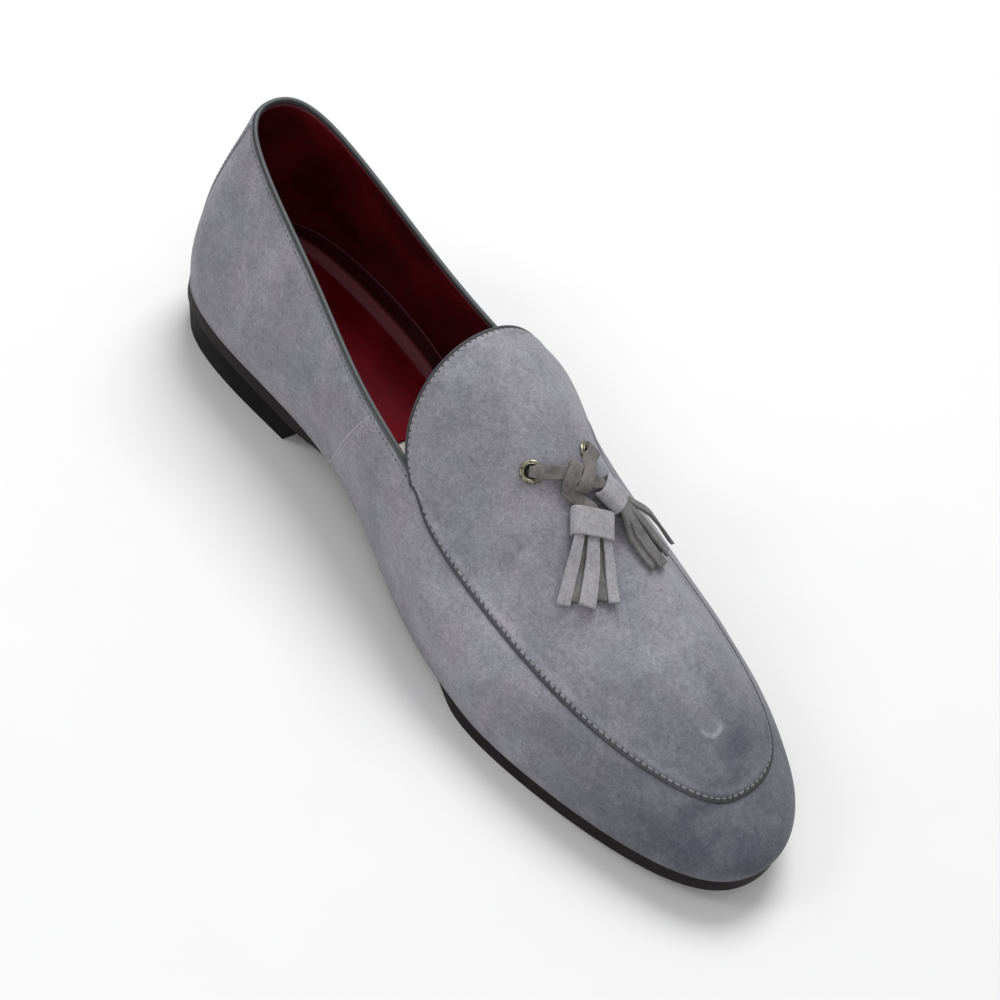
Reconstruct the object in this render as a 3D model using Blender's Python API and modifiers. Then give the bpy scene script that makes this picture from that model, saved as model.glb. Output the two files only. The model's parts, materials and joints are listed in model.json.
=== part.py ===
"""Tassel loafer for the left foot: a suede upper on a thin leather sole with a low block heel.

The toe points along -Y, +X is the outer side of the foot and the shoe stands on Z = 0.
The upper is a loft of ribs. Each rib climbs from the feather edge, where upper and sole
meet, to the top edge of the wall, which is the collar behind the throat and the apron seam
in front of it. From the apron seam the rib goes on over the instep to the ridge line.
"""

import math
from collections import namedtuple

import bmesh
import bpy
import numpy as np
from mathutils import Matrix, Vector
from mathutils.bvhtree import BVHTree

# Driving sizes of the last and the sole, in metres
LENGTH = 0.300  # feather edge, back of the heel to the tip of the toe
BALL_WIDTH = 0.0914  # feather edge across the ball of the foot
SEAT_WIDTH = 0.0626  # feather edge across the heel seat
TOE_TURN = 0.0037  # how far the toe turns to the inner side
BACK_HEIGHT = 0.0885  # collar over the floor, at the back of the heel
INSTEP_HEIGHT = 0.0872  # top of the tongue over the floor
HEEL_HEIGHT = 0.0140
SOLE_THICKNESS = 0.0048
TOE_SPRING = 0.0071
SOLE_EDGE = 0.0004  # how far the sole stands out past the feather edge
BELLY = 0.0047  # how far the wall swells past the feather edge

# The waist's inner side, where the sole is tucked in and cut back under the upper
WAIST_START = 0.27  # share of LENGTH
WAIST_END = 0.68
WAIST_FADE = 0.10  # share of LENGTH in which it comes and goes
WAIST_TUCK = 0.0012  # how far the sole's upper edge goes in
WAIST_BEVEL = 0.0045  # how much further its lower edge goes in

# Walls, overlays and clearances
WALL = 0.0020
MARGIN = 0.0090  # lasting margin, turned in under the insole
APRON_STEP = 0.0007  # the apron is laid on the vamp and stands this far above it
APRON_SETBACK = 0.0007  # the apron's edge lies this far behind the vamp's top edge
CLEARANCE = 0.0003
STRAP_THICKNESS = 0.0009
STRAP_TOP_WIDTH = 0.027
STRAP_FOOT_WIDTH = 0.038
STRAP_FOOT = 0.03  # share of the wall's height at which the strap begins
STRAP_TOP = 0.985  # and ends
BINDING_RADIUS = 0.0013  # rolled edge of the collar
TONGUE_BINDING_RADIUS = 0.0009
TONGUE_BINDING_START = 0.19  # share of the half edge that stays bare at each throat corner
BINDING_END = 0.0090  # the collar's rolled edge stops this far from the throat corner

# Heel block and insole
HEEL_LENGTH = 0.0840  # back of the seat to the breast
HEEL_INSET = 0.0030  # the block tapers in by this much towards the floor
BREAST_SLANT = 0.0060  # the breast leans back by this much towards the floor
INSOLE_THICKNESS = 0.0030
INSOLE_RIM = 0.0020  # the padded rim round the heel stands this far above the insole
RIM_END = 0.25  # the rim begins to fade at this share of LENGTH
RIM_FADE = 0.20  # and has faded after this further share
RIM_REACH = 0.50  # it reaches this share of the half width in from the edge
INSOLE_GAP = 0.0012  # between the insole's edge and the inside of the wall

# Lace and tassels
EYELET_SPREAD = 0.0220  # between the two eyelets' centres
EYELET_PLACE = 0.580  # share of LENGTH from the heel
EYELET_RING_RADIUS = 0.0030
EYELET_WIRE_RADIUS = 0.0009
EYELET_HEIGHT = 0.0009
LACE_WIDTH = 0.0038
LACE_THICKNESS = 0.0013
LACE_HOLE_WIDTH = 0.0029  # the lace is bunched in the eyelet's hole and flat outside it
LACE_RISE = 0.0006  # the lace's bars stand this far off the eyelets' rings
LACE_END_RADIUS = 0.0012
KNOT_SIZE = (0.0120, 0.0105, 0.0070)
KNOT_AHEAD = 0.0100  # the knot's centre lies this far in front of the eyelets
BAND_WIDTH = 0.0140
BAND_LENGTH = 0.0092
BAND_DEPTH = 0.0056
BAND_EDGE = 0.0012  # rounding of the band's edges
STRIP_LENGTH = 0.0205
STRIP_WIDTH = 0.0042  # at the free end
STRIP_ROOT_WIDTH = 0.0029  # in the band
STRIP_THICKNESS = 0.0014
STRIPS_PER_ROW = 4
STRIP_PITCH = 0.0033  # between the centres of two strips in the band
STRIP_FAN = 0.0052  # the same at their free ends
STRIP_LAYER = 0.0019  # between the two layers of strips
STRIP_LIFT = 0.0007  # the lower layer lies this far over the apron
STRIP_SETTLE = 0.62  # share of its reach at which a strip has come down to the apron

# Resolution
RIBS_PER_SECTION = 5
WALL_LEVELS = 9
APRON_LEVELS = 7
SHEET_COLUMNS = 6
STRAP_COLUMNS = 6
STRIP_STATIONS = 6

# Shape of the ribs: how far their handles reach, as a share of the rib's span
WALL_FOOT_HANDLE = 0.36
WALL_TOP_HANDLE = 0.35
APRON_SEAM_HANDLE = 0.38
APRON_RIDGE_HANDLE = 0.42

# Share of LENGTH where the level heel seat ends, and where the forefoot lies on the floor
SEAT_END = 0.20
FOREFOOT_START = 0.64
FOREFOOT_END = 0.73

# Each section has its place along the feather edge, its half widths on the outer and the
# inner side, the same for its top edge, the height of that edge, and how far the wall
# leans in at the top. Places are shares of LENGTH.
Section = namedtuple("Section", "name along outer inner top_along top_outer top_inner height lean")

# Half widths here are shares of SEAT_WIDTH, and heights of BACK_HEIGHT
HEEL_SECTIONS = [
    Section("back", 0.000, 0.000, 0.000, 0.029, 0.000, 0.000, 1.000, 13),
    Section("heel", 0.061, 0.428, 0.440, 0.072, 0.254, 0.252, 0.945, 16),
    Section("quarter", 0.228, 0.520, 0.481, 0.228, 0.379, 0.377, 0.783, 18),
    Section("waist", 0.380, 0.534, 0.453, 0.378, 0.477, 0.503, 0.659, 24),
]
# Half widths here are shares of BALL_WIDTH, and heights of INSTEP_HEIGHT
FRONT_SECTIONS = [
    Section("joint", 0.535, 0.456, 0.420, 0.500, 0.394, 0.384, 0.595, 33),
    Section("vamp", 0.662, 0.522, 0.478, 0.566, 0.384, 0.401, 0.494, 46),
    Section("ball", 0.761, 0.480, 0.457, 0.770, 0.345, 0.365, 0.400, 51),
    Section("toe side", 0.939, 0.271, 0.296, 0.914, 0.191, 0.200, 0.361, 49),
    Section("tip", 1.000, 0.000, 0.000, 0.941, 0.000, 0.000, 0.330, 50),
]
# The ridge line over the instep meets the ribs of the front sections at these places
RidgePoint = namedtuple("RidgePoint", "along height turn")
RIDGE = [
    RidgePoint(0.435, 1.000, 0.00),
    RidgePoint(0.546, 0.905, 0.00),
    RidgePoint(0.680, 0.650, 0.00),
    RidgePoint(0.795, 0.530, 0.12),
    RidgePoint(0.868, 0.462, 0.20),
]
LACE_SHIFT = -0.0015  # the eyelets and the knot sit this far to the inner side
TIP_TOP_TURN = 0.43  # share of TOE_TURN that the apron seam's front point keeps
TONGUE_SWEEP = 80  # degrees by which the tongue's edge swings back at the throat corner
SWEEP_SECTIONS = 2  # this many sections on from there the ribs go straight across

# Where each tassel lies, in metres across and ahead of the knot: its band, then its strips' ends
Tassel = namedtuple("Tassel", "name band_across band_ahead tail_across tail_ahead")
TASSELS = [
    Tassel("inner", -0.0040, 0.0128, -0.0150, 0.0305),
    Tassel("outer", 0.0105, 0.0088, 0.0200, 0.0250),
]

SECTIONS = HEEL_SECTIONS + FRONT_SECTIONS
TIP = len(SECTIONS) - 1
JOINT = len(HEEL_SECTIONS)
SIDES = {"outer": 1, "inner": -1}


class Spline:
    """A smooth curve that passes its points at the parameters 0, 1, 2 and so on."""

    def __init__(self, points, closed=True):
        self.points = np.array(points, float)
        count = len(self.points)
        one = np.eye(count)
        beside = np.roll(one, 1, axis=1) + np.roll(one, -1, axis=1)
        turn = beside @ self.points - 2 * self.points
        system = 4 * one + beside
        if not closed:
            system[[0, -1]] = one[[0, -1]]
            turn[[0, -1]] = 0
        self.bend = np.linalg.solve(system, 6 * turn)

    def span(self, places):
        whole = np.floor(places - 1e-9).astype(int)
        start = whole % len(self.points)
        end = (start + 1) % len(self.points)
        return start, end, (places - whole)[:, None]

    def at(self, places):
        start, end, t = self.span(np.asarray(places, float))
        s = 1 - t
        line = self.points[start] * s + self.points[end] * t
        return line + ((s**3 - s) * self.bend[start] + (t**3 - t) * self.bend[end]) / 6

    def slope(self, places):
        start, end, t = self.span(np.asarray(places, float))
        s = 1 - t
        line = self.points[end] - self.points[start]
        return line + ((3 * t**2 - 1) * self.bend[end] - (3 * s**2 - 1) * self.bend[start]) / 6


def unit(vectors):
    return vectors / np.maximum(np.linalg.norm(vectors, axis=-1, keepdims=True), 1e-9)


def smooth_step(t):
    t = np.clip(t, 0, 1)
    return t * t * (3 - 2 * t)


def place_y(along):
    """Y of a place along the shoe, before the whole shoe is centred."""
    return LENGTH / 2 - np.asarray(along) * LENGTH


def place_along(y):
    return (LENGTH / 2 - y) / LENGTH


def underside(along):
    """Height of the sole's underside: level seat, arch, level forefoot, toe spring."""
    arch = 1 - smooth_step((along - SEAT_END) / (FOREFOOT_START - SEAT_END))
    spring = np.clip((along - FOREFOOT_END) / (1 - FOREFOOT_END), 0, 1)
    return HEEL_HEIGHT * arch + TOE_SPRING * spring**2


def section_points():
    """The control points of feather edge, top edge and lean, once round the shoe from the
    back: down the outer side to the tip, and back up the inner side."""
    feather, top, lean = [], [], []
    rows = [(i, 1) for i in range(TIP + 1)] + [(i, -1) for i in range(TIP - 1, 0, -1)]
    for i, side in rows:
        row = SECTIONS[i]
        width, height = (SEAT_WIDTH, BACK_HEIGHT) if i < JOINT else (BALL_WIDTH, INSTEP_HEIGHT)
        half, top_half = (row.outer, row.top_outer) if side > 0 else (-row.inner, -row.top_inner)
        turn = -TOE_TURN if i == TIP else 0
        feather.append([half * width + turn, place_y(row.along)])
        top.append([top_half * width + turn * TIP_TOP_TURN, place_y(row.top_along), row.height * height])
        lean.append([math.radians(row.lean)])
    return feather, top, lean


FEATHER, TOP, LEAN = [Spline(points) for points in section_points()]
ROUND = 2 * TIP  # the parameter goes once round the shoe in this many sections


def feather_edge(u, outset=0.0, lift=0.0):
    """Points of the feather edge on the sole's upper face, moved outwards and up. The
    outset is one size, or one for each point."""
    along = unit(FEATHER.slope(u))
    outward = np.stack([-along[:, 1], along[:, 0]], axis=1)
    flat = FEATHER.at(u) + outward * np.reshape(outset, (-1, 1))
    level = underside(place_along(flat[:, 1])) + SOLE_THICKNESS + lift
    return np.column_stack([flat, level])


def inward_at(u):
    """Level direction into the shoe, square to the top edge."""
    along = unit(TOP.slope(u)[:, :2])
    return np.column_stack([along[:, 1], -along[:, 0], np.zeros(len(u))])


def climb_at(u):
    """Direction of the wall where it reaches its top edge."""
    lean = LEAN.at(u)
    return inward_at(u) * np.sin(lean) + np.array([0, 0, 1]) * np.cos(lean)


def bezier(a, b, c, d, t):
    """Points of many cubic Bezier curves: one row of t values for each curve."""
    t = np.asarray(t)[None, :, None]
    s = 1 - t
    a, b, c, d = [point[:, None, :] for point in (a, b, c, d)]
    return a * s**3 + 3 * b * s**2 * t + 3 * c * s * t**2 + d * t**3


def wall_ribs(u, levels, raised=0.0):
    """Wall from the feather edge to the top edge, as an array of rib, level, XYZ."""
    foot = feather_edge(u, raised, CLEARANCE)
    top = TOP.at(u) - inward_at(u) * raised
    span = np.linalg.norm(top - foot, axis=1)[:, None]
    up = np.array([0, 0, 1])
    return bezier(
        foot,
        foot - inward_at(u) * BELLY + up * span * WALL_FOOT_HANDLE,
        top - climb_at(u) * span * WALL_TOP_HANDLE,
        top,
        levels,
    )


def ridge_at(rows):
    """Points and slopes of the ridge line."""
    table = [[-p.turn * TOE_TURN, place_y(p.along), p.height * INSTEP_HEIGHT] for p in RIDGE]
    line = Spline(table, closed=False)
    return line.at(rows - JOINT), line.slope(rows - JOINT)


def apron_ribs(side, rows, levels):
    """Apron from its seam to the ridge on one side, as an array of rib, level, XYZ.
    rows are section numbers from the throat corner, at JOINT, to the tip."""
    u = rows if side > 0 else ROUND - rows
    seam = TOP.at(u)
    ridge, ridge_slope = ridge_at(rows)
    backward = unit(TOP.slope(u)) * -side
    # The tongue's edge leaves the throat corner towards the heel, and further on the ribs
    # go straight across
    near_throat = 1 - np.clip((rows - JOINT) / SWEEP_SECTIONS, 0, 1)
    sweep = (math.radians(TONGUE_SWEEP) * near_throat**1.5)[:, None]
    leave = unit(climb_at(u) * np.cos(sweep) + backward * np.sin(sweep))
    # They reach the ridge from the side, and at the toe from the front
    in_toe = np.clip((rows - JOINT - SWEEP_SECTIONS) / SWEEP_SECTIONS, 0, 1)[:, None]
    radial = unit((seam - ridge) * np.array([1, 1, 0]))
    radial[:, 2] = radial[:, 1] * ridge_slope[:, 2] / ridge_slope[:, 1]
    across = np.tile([float(side), 0, 0], (len(rows), 1))
    reach = unit(across * (1 - in_toe) + radial * in_toe)
    outward = unit(np.cross(leave, TOP.slope(u)))
    start = seam + outward * APRON_STEP + leave * APRON_SETBACK
    end = ridge + np.array([0, 0, APRON_STEP])
    length = np.linalg.norm(end - start, axis=1)[:, None]
    return bezier(
        start,
        start + leave * length * APRON_SEAM_HANDLE,
        end + reach * length * APRON_RIDGE_HANDLE,
        end,
        levels,
    )


def add_strip(bm, first, second):
    """Faces between two rows of vertices. A row of one vertex makes a fan."""
    longest = max(len(first), len(second))
    first, second = [row * longest if len(row) == 1 else row for row in (first, second)]
    for corners in zip(first[:-1], first[1:], second[1:], second[:-1]):
        bm.faces.new(list(dict.fromkeys(corners)))


def add_rows(bm, rows):
    return [[bm.verts.new(point) for point in row] for row in rows]


def material(name, colour, roughness, metallic=0.0):
    made = bpy.data.materials.new(name)
    made.use_nodes = True
    shader = made.node_tree.nodes["Principled BSDF"]
    shader.inputs["Base Color"].default_value = (*colour, 1)
    shader.inputs["Roughness"].default_value = roughness
    shader.inputs["Metallic"].default_value = metallic
    return made


def finish(name, bm_or_mesh, look):
    """Makes the object of a sub-part from its mesh."""
    mesh = bm_or_mesh
    if isinstance(bm_or_mesh, bmesh.types.BMesh):
        mesh = bpy.data.meshes.new(name)
        bm_or_mesh.to_mesh(mesh)
        bm_or_mesh.free()
    mesh.materials.clear()
    mesh.materials.append(look)
    mesh.shade_smooth()
    mesh.set_sharp_from_angle(angle=math.radians(40))
    piece = bpy.data.objects.new(name, mesh)
    SHOE.objects.link(piece)
    return piece


def modify(piece, kind, **settings):
    made = piece.modifiers.new(kind.title(), kind)
    for key, value in settings.items():
        setattr(made, key, value)


def upper_shell():
    """The outer surface of the upper: margin, wall all round, and the apron with its step."""
    bm = bmesh.new()
    per = RIBS_PER_SECTION
    u = np.arange(ROUND * per) / per
    levels = np.linspace(0, 1, WALL_LEVELS + 1)
    wall = wall_ribs(u, levels)
    margin = feather_edge(u, -MARGIN, CLEARANCE)
    ribs = [[bm.verts.new(m)] + [bm.verts.new(p) for p in rib] for m, rib in zip(margin, wall)]
    for k in range(len(ribs)):
        add_strip(bm, ribs[k], ribs[(k + 1) % len(ribs)])
    rows = np.arange(JOINT * per, TIP * per + 1) / per
    levels = np.linspace(0, 1, APRON_LEVELS + 1)
    # Both sides share the vertices of the ridge and of the rib at the tip
    points = apron_ribs(SIDES["outer"], rows, levels)
    ridge = [bm.verts.new(rib[-1]) for rib in points]
    tip_rib = [bm.verts.new(p) for p in points[-1][:-1]]
    for side in SIDES.values():
        halves = [[bm.verts.new(p) for p in rib[:-1]] for rib in apron_ribs(side, rows[:-1], levels)]
        strips = []
        for k, inner in enumerate([*halves, tip_rib]):
            wall_rib = ribs[(JOINT * per + k) * side % len(ribs)]
            strips.append([wall_rib[-1], *inner, ridge[k]])
        for a, b in zip(strips[:-1], strips[1:]):
            add_strip(bm, a, b)
    bmesh.ops.recalc_face_normals(bm, faces=bm.faces)
    highest = max(bm.faces, key=lambda face: face.calc_center_median().z)
    if highest.normal.z < 0:
        bmesh.ops.reverse_faces(bm, faces=bm.faces)
    return bm


def build_upper():
    piece = finish("upper", upper_shell(), SUEDE)
    modify(piece, "SOLIDIFY", thickness=WALL, offset=-1, use_even_offset=True)
    return piece


def sheet_rows(u, outset, height, inner_outset=None):
    """Rows of points across the shoe between the feather edges, for parameters u from the
    back to the tip on the outer side. height gives Z from the place along the shoe and from
    the distance to the edge as a share of the half width."""
    outer = feather_edge(u, outset)
    inner = feather_edge(ROUND - u, outset if inner_outset is None else inner_outset)
    rows = []
    for a, b in zip(inner, outer):
        if np.allclose(a, b, atol=1e-6):
            rows.append([(a[0], a[1], height(place_along(a[1]), 0.0))])
            continue
        row = []
        for share in np.linspace(0, 1, SHEET_COLUMNS + 1):
            x, y = a[:2] + (b[:2] - a[:2]) * share
            row.append((x, y, height(place_along(y), 1 - abs(2 * share - 1))))
        rows.append(row)
    return rows


def solid_between(name, upper_rows, lower_rows, look):
    """A closed solid between two sheets that have the same rows and columns."""
    bm = bmesh.new()
    tops = add_rows(bm, upper_rows)
    bottoms = add_rows(bm, lower_rows)
    for rows in (tops, bottoms):
        for a, b in zip(rows[:-1], rows[1:]):
            add_strip(bm, a, b)
    for end in (0, -1):
        if len(tops[end]) > 1:
            add_strip(bm, tops[end], bottoms[end])
    for k in range(len(tops) - 1):
        for side in (0, -1):
            corners = (tops[k][side], tops[k + 1][side], bottoms[k + 1][side], bottoms[k][side])
            bm.faces.new(corners)
    bmesh.ops.recalc_face_normals(bm, faces=bm.faces)
    return finish(name, bm, look)


def all_ribs():
    return np.arange(TIP * RIBS_PER_SECTION + 1) / RIBS_PER_SECTION


def build_outsole():
    """The sole, whose edge follows the feather edge except at the inner waist."""
    def top(along, share):
        return underside(along) + SOLE_THICKNESS

    def bottom(along, share):
        return underside(along)

    u = all_ribs()
    along = place_along(FEATHER.at(ROUND - u)[:, 1])
    come = smooth_step((along - WAIST_START) / WAIST_FADE)
    go = smooth_step((WAIST_END - along) / WAIST_FADE)
    upper_edge = SOLE_EDGE - WAIST_TUCK * come * go
    lower_edge = upper_edge - WAIST_BEVEL * come * go
    upper_rows = sheet_rows(u, SOLE_EDGE, top, upper_edge)
    lower_rows = sheet_rows(u, SOLE_EDGE, bottom, lower_edge)
    return solid_between("outsole", upper_rows, lower_rows, SOLE_LEATHER)


def build_heel():
    """The heel block, from the seat down to the floor, with a breast that leans back."""
    breast = HEEL_LENGTH / LENGTH
    steps = np.linspace(0, JOINT, 200)
    u_breast = np.interp(breast, place_along(FEATHER.at(steps)[:, 1]), steps)
    u = np.linspace(0, u_breast, 2 * RIBS_PER_SECTION + 1)
    top_rows = sheet_rows(u, 0.0, lambda along, share: underside(along) - CLEARANCE)
    foot_rows = sheet_rows(u, -HEEL_INSET, lambda along, share: 0.0)
    # The foot of the block is shortened evenly, so that the breast leans back
    back = foot_rows[0][0][1]
    front = foot_rows[-1][0][1]
    shrink = (back - front - BREAST_SLANT) / (back - front)
    foot_rows = [[(x, back + (y - back) * shrink, z) for x, y, z in row] for row in foot_rows]
    return solid_between("heel", top_rows, foot_rows, HEEL_BLACK)


def build_insole():
    """The padded sock, which lies on the lasting margin and has a raised rim round the heel."""
    floor = SOLE_THICKNESS + 2 * CLEARANCE + WALL

    def bottom(along, share):
        return underside(along) + floor

    def top(along, share):
        in_heel = 1 - smooth_step((along - RIM_END) / RIM_FADE)
        near_edge = 1 - smooth_step(share / RIM_REACH)
        return bottom(along, share) + INSOLE_THICKNESS + INSOLE_RIM * in_heel * near_edge

    u = all_ribs()
    inset = -(WALL + INSOLE_GAP)
    return solid_between("insole", sheet_rows(u, inset, top), sheet_rows(u, inset, bottom), LINING)


def tube(name, points, radius, look, sides=2):
    """A round bead along the points, as a mesh with closed ends."""
    curve = bpy.data.curves.new(name, "CURVE")
    curve.dimensions = "3D"
    curve.bevel_depth = radius
    curve.bevel_resolution = sides
    curve.use_fill_caps = True
    spline = curve.splines.new("POLY")
    spline.points.add(len(points) - 1)
    for target, point in zip(spline.points, points):
        target.co = (*point, 1)
    guide = bpy.data.objects.new(name + " route", curve)
    SHOE.objects.link(guide)
    bpy.context.view_layer.update()
    mesh = bpy.data.meshes.new_from_object(guide.evaluated_get(bpy.context.evaluated_depsgraph_get()))
    bpy.data.objects.remove(guide)
    bm = bmesh.new()
    bm.from_mesh(mesh)
    bmesh.ops.remove_doubles(bm, verts=bm.verts, dist=1e-6)
    bmesh.ops.recalc_face_normals(bm, faces=bm.faces)
    return finish(name, bm, look)


def build_collar_binding():
    """The rolled edge on top of the collar, from one throat corner round the heel."""
    steps = np.linspace(-JOINT, JOINT, 400)
    route = TOP.at(steps % ROUND)
    run = np.concatenate([[0], np.cumsum(np.linalg.norm(np.diff(route, axis=0), axis=1))])
    kept = np.linspace(BINDING_END, run[-1] - BINDING_END, 16 * RIBS_PER_SECTION // 2)
    u = np.interp(kept, run, steps) % ROUND
    centre = TOP.at(u) + inward_at(u) * WALL / 2 + climb_at(u) * (BINDING_RADIUS + 2 * CLEARANCE)
    return tube("collar_binding", centre, BINDING_RADIUS, BINDING)


def build_tongue_binding():
    """The thin binding along the tongue's rear edge, from corner to corner."""
    rows = np.array([JOINT, JOINT + 1 / RIBS_PER_SECTION])
    levels = np.linspace(TONGUE_BINDING_START, 1, 13)
    halves = []
    for side in SIDES.values():
        edge, next_rib = apron_ribs(side, rows, levels)
        away = unit(edge - next_rib)
        along = unit(np.gradient(edge, axis=0))
        inside = unit(np.cross(away, along)) * -side
        halves.append(edge + away * (TONGUE_BINDING_RADIUS + 2 * CLEARANCE) - inside * WALL / 2)
    middle = (halves[0][-1:] + halves[1][-1:]) / 2
    route = np.concatenate([halves[0][:-1], middle, halves[1][-2::-1]])
    return tube("tongue_binding", route, TONGUE_BINDING_RADIUS, BINDING)


def build_back_strap():
    """The strap down the back seam, bent to the wall and lying on it."""
    levels = np.linspace(STRAP_FOOT, STRAP_TOP, WALL_LEVELS + 1)
    u = np.linspace(-1.5, 1.5, 61)
    surface = wall_ribs(u % ROUND, levels, CLEARANCE)
    bm = bmesh.new()
    rows = []
    for k, level in enumerate(levels):
        width = STRAP_FOOT_WIDTH + (STRAP_TOP_WIDTH - STRAP_FOOT_WIDTH) * level
        line = surface[:, k]
        run = np.concatenate([[0], np.cumsum(np.linalg.norm(np.diff(line, axis=0), axis=1))])
        run -= np.interp(0, u, run)
        wanted = np.linspace(-width / 2, width / 2, STRAP_COLUMNS + 1)
        rows.append([bm.verts.new([np.interp(w, run, line[:, axis]) for axis in range(3)]) for w in wanted])
    for a, b in zip(rows[:-1], rows[1:]):
        add_strip(bm, a, b)
    bmesh.ops.recalc_face_normals(bm, faces=bm.faces)
    faces_back = sum(face.normal.y * face.calc_area() for face in bm.faces) > 0
    if not faces_back:
        bmesh.ops.reverse_faces(bm, faces=bm.faces)
    piece = finish("back_strap", bm, SUEDE)
    modify(piece, "SOLIDIFY", thickness=STRAP_THICKNESS, offset=1, use_even_offset=True)
    return piece


def surface_under(x, y):
    """The point of the apron under a place, and the direction that it faces."""
    point, facing, _, _ = APRON_TREE.ray_cast(Vector((x, y, 1.0)), Vector((0, 0, -1)))
    return point, facing


def turned_to(facing, forward):
    """Rotation whose Z faces along one direction and whose -Y goes as near as it can to
    the other."""
    z = facing.normalized()
    y = -(forward - z * forward.dot(z)).normalized()
    x = y.cross(z)
    return Matrix((x, y, z)).transposed()


def eyelet_places():
    y = float(place_y(EYELET_PLACE))
    return {name: (side * EYELET_SPREAD / 2 + LACE_SHIFT, y) for name, side in SIDES.items()}


def build_eyelets():
    lift = EYELET_HEIGHT / 2 + CLEARANCE
    for name, (x, y) in eyelet_places().items():
        point, facing = surface_under(x, y)
        bpy.ops.mesh.primitive_torus_add(
            major_radius=EYELET_RING_RADIUS,
            minor_radius=EYELET_WIRE_RADIUS,
            major_segments=20,
            minor_segments=8,
        )
        ring = bpy.context.object
        mesh = ring.data
        bpy.data.objects.remove(ring)
        mesh.transform(Matrix.Diagonal((1, 1, EYELET_HEIGHT / (2 * EYELET_WIRE_RADIUS), 1)))
        piece = finish("eyelet_" + name, mesh, BRASS)
        piece.location = point + facing * lift
        piece.rotation_euler = turned_to(facing, Vector((0, -1, 0))).to_euler()


def ribbon(name, centres, facings, widths, thickness, look):
    """A flat strip along the centres, as a closed loft of rectangles."""
    bm = bmesh.new()
    rings = []
    count = len(centres)
    for k, (centre, facing, width) in enumerate(zip(centres, facings, widths)):
        along = (centres[min(k + 1, count - 1)] - centres[max(k - 1, 0)]).normalized()
        across = along.cross(facing).normalized() * width / 2
        up = across.cross(along).normalized() * thickness / 2
        corners = (centre - across - up, centre + across - up, centre + across + up, centre - across + up)
        rings.append([bm.verts.new(corner) for corner in corners])
    for a, b in zip(rings[:-1], rings[1:]):
        add_strip(bm, a + a[:1], b + b[:1])
    bm.faces.new(rings[0])
    bm.faces.new(rings[-1])
    bmesh.ops.recalc_face_normals(bm, faces=bm.faces)
    return finish(name, bm, look)


def knot_place():
    """Centre and turn of the knot, which lies on the instep in front of the eyelets."""
    x, y = LACE_SHIFT, float(place_y(EYELET_PLACE)) - KNOT_AHEAD
    point, facing = surface_under(x, y)
    centre = point + facing * (KNOT_SIZE[2] / 2 + 2 * CLEARANCE)
    return centre, turned_to(facing, Vector((0, -1, 0)))


def knot_reach(direction):
    """Distance from the knot's centre to its surface in a direction."""
    _, turn = knot_place()
    local = turn.transposed() @ direction
    return 1 / math.sqrt(sum((2 * part / size) ** 2 for part, size in zip(local, KNOT_SIZE)))


def build_knot():
    centre, turn = knot_place()
    bpy.ops.mesh.primitive_uv_sphere_add(segments=16, ring_count=8, radius=0.5)
    ball = bpy.context.object
    mesh = ball.data
    bpy.data.objects.remove(ball)
    mesh.transform(Matrix.Diagonal((*KNOT_SIZE, 1)))
    piece = finish("lace_knot", mesh, LACE)
    piece.location = centre
    piece.rotation_euler = turn.to_euler()


def build_lace_bars():
    """The lace from each eyelet's hole over its ring and up to the knot."""
    knot, _ = knot_place()
    over_ring = EYELET_HEIGHT + 2 * CLEARANCE + LACE_THICKNESS / 2
    for name, (x, y) in eyelet_places().items():
        away = Vector((knot.x - x, knot.y - y))
        run = away.length
        away.normalize()
        # Each station is a distance from the hole's centre and a height over the apron
        rise = [(-0.0004, LACE_THICKNESS / 2), (0.0008, over_ring - CLEARANCE)]
        rise += [(0.0024, over_ring + LACE_RISE / 2)]
        rise += [(share * run, over_ring + LACE_RISE) for share in (0.35, 0.45, 0.55, 0.65, 0.75)]
        centres, facings = [], []
        for ahead, lift in rise:
            point, facing = surface_under(x + away.x * ahead, y + away.y * ahead)
            centre = point + facing * lift
            gap = knot - centre
            if gap.length > knot_reach(gap.normalized()) + 4 * CLEARANCE:
                centres.append(centre)
                facings.append(facing)
        widths = [LACE_HOLE_WIDTH] * 2 + [LACE_WIDTH] * (len(centres) - 2)
        ribbon("lace_bar_" + name, centres, facings, widths, LACE_THICKNESS, LACE)


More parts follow.
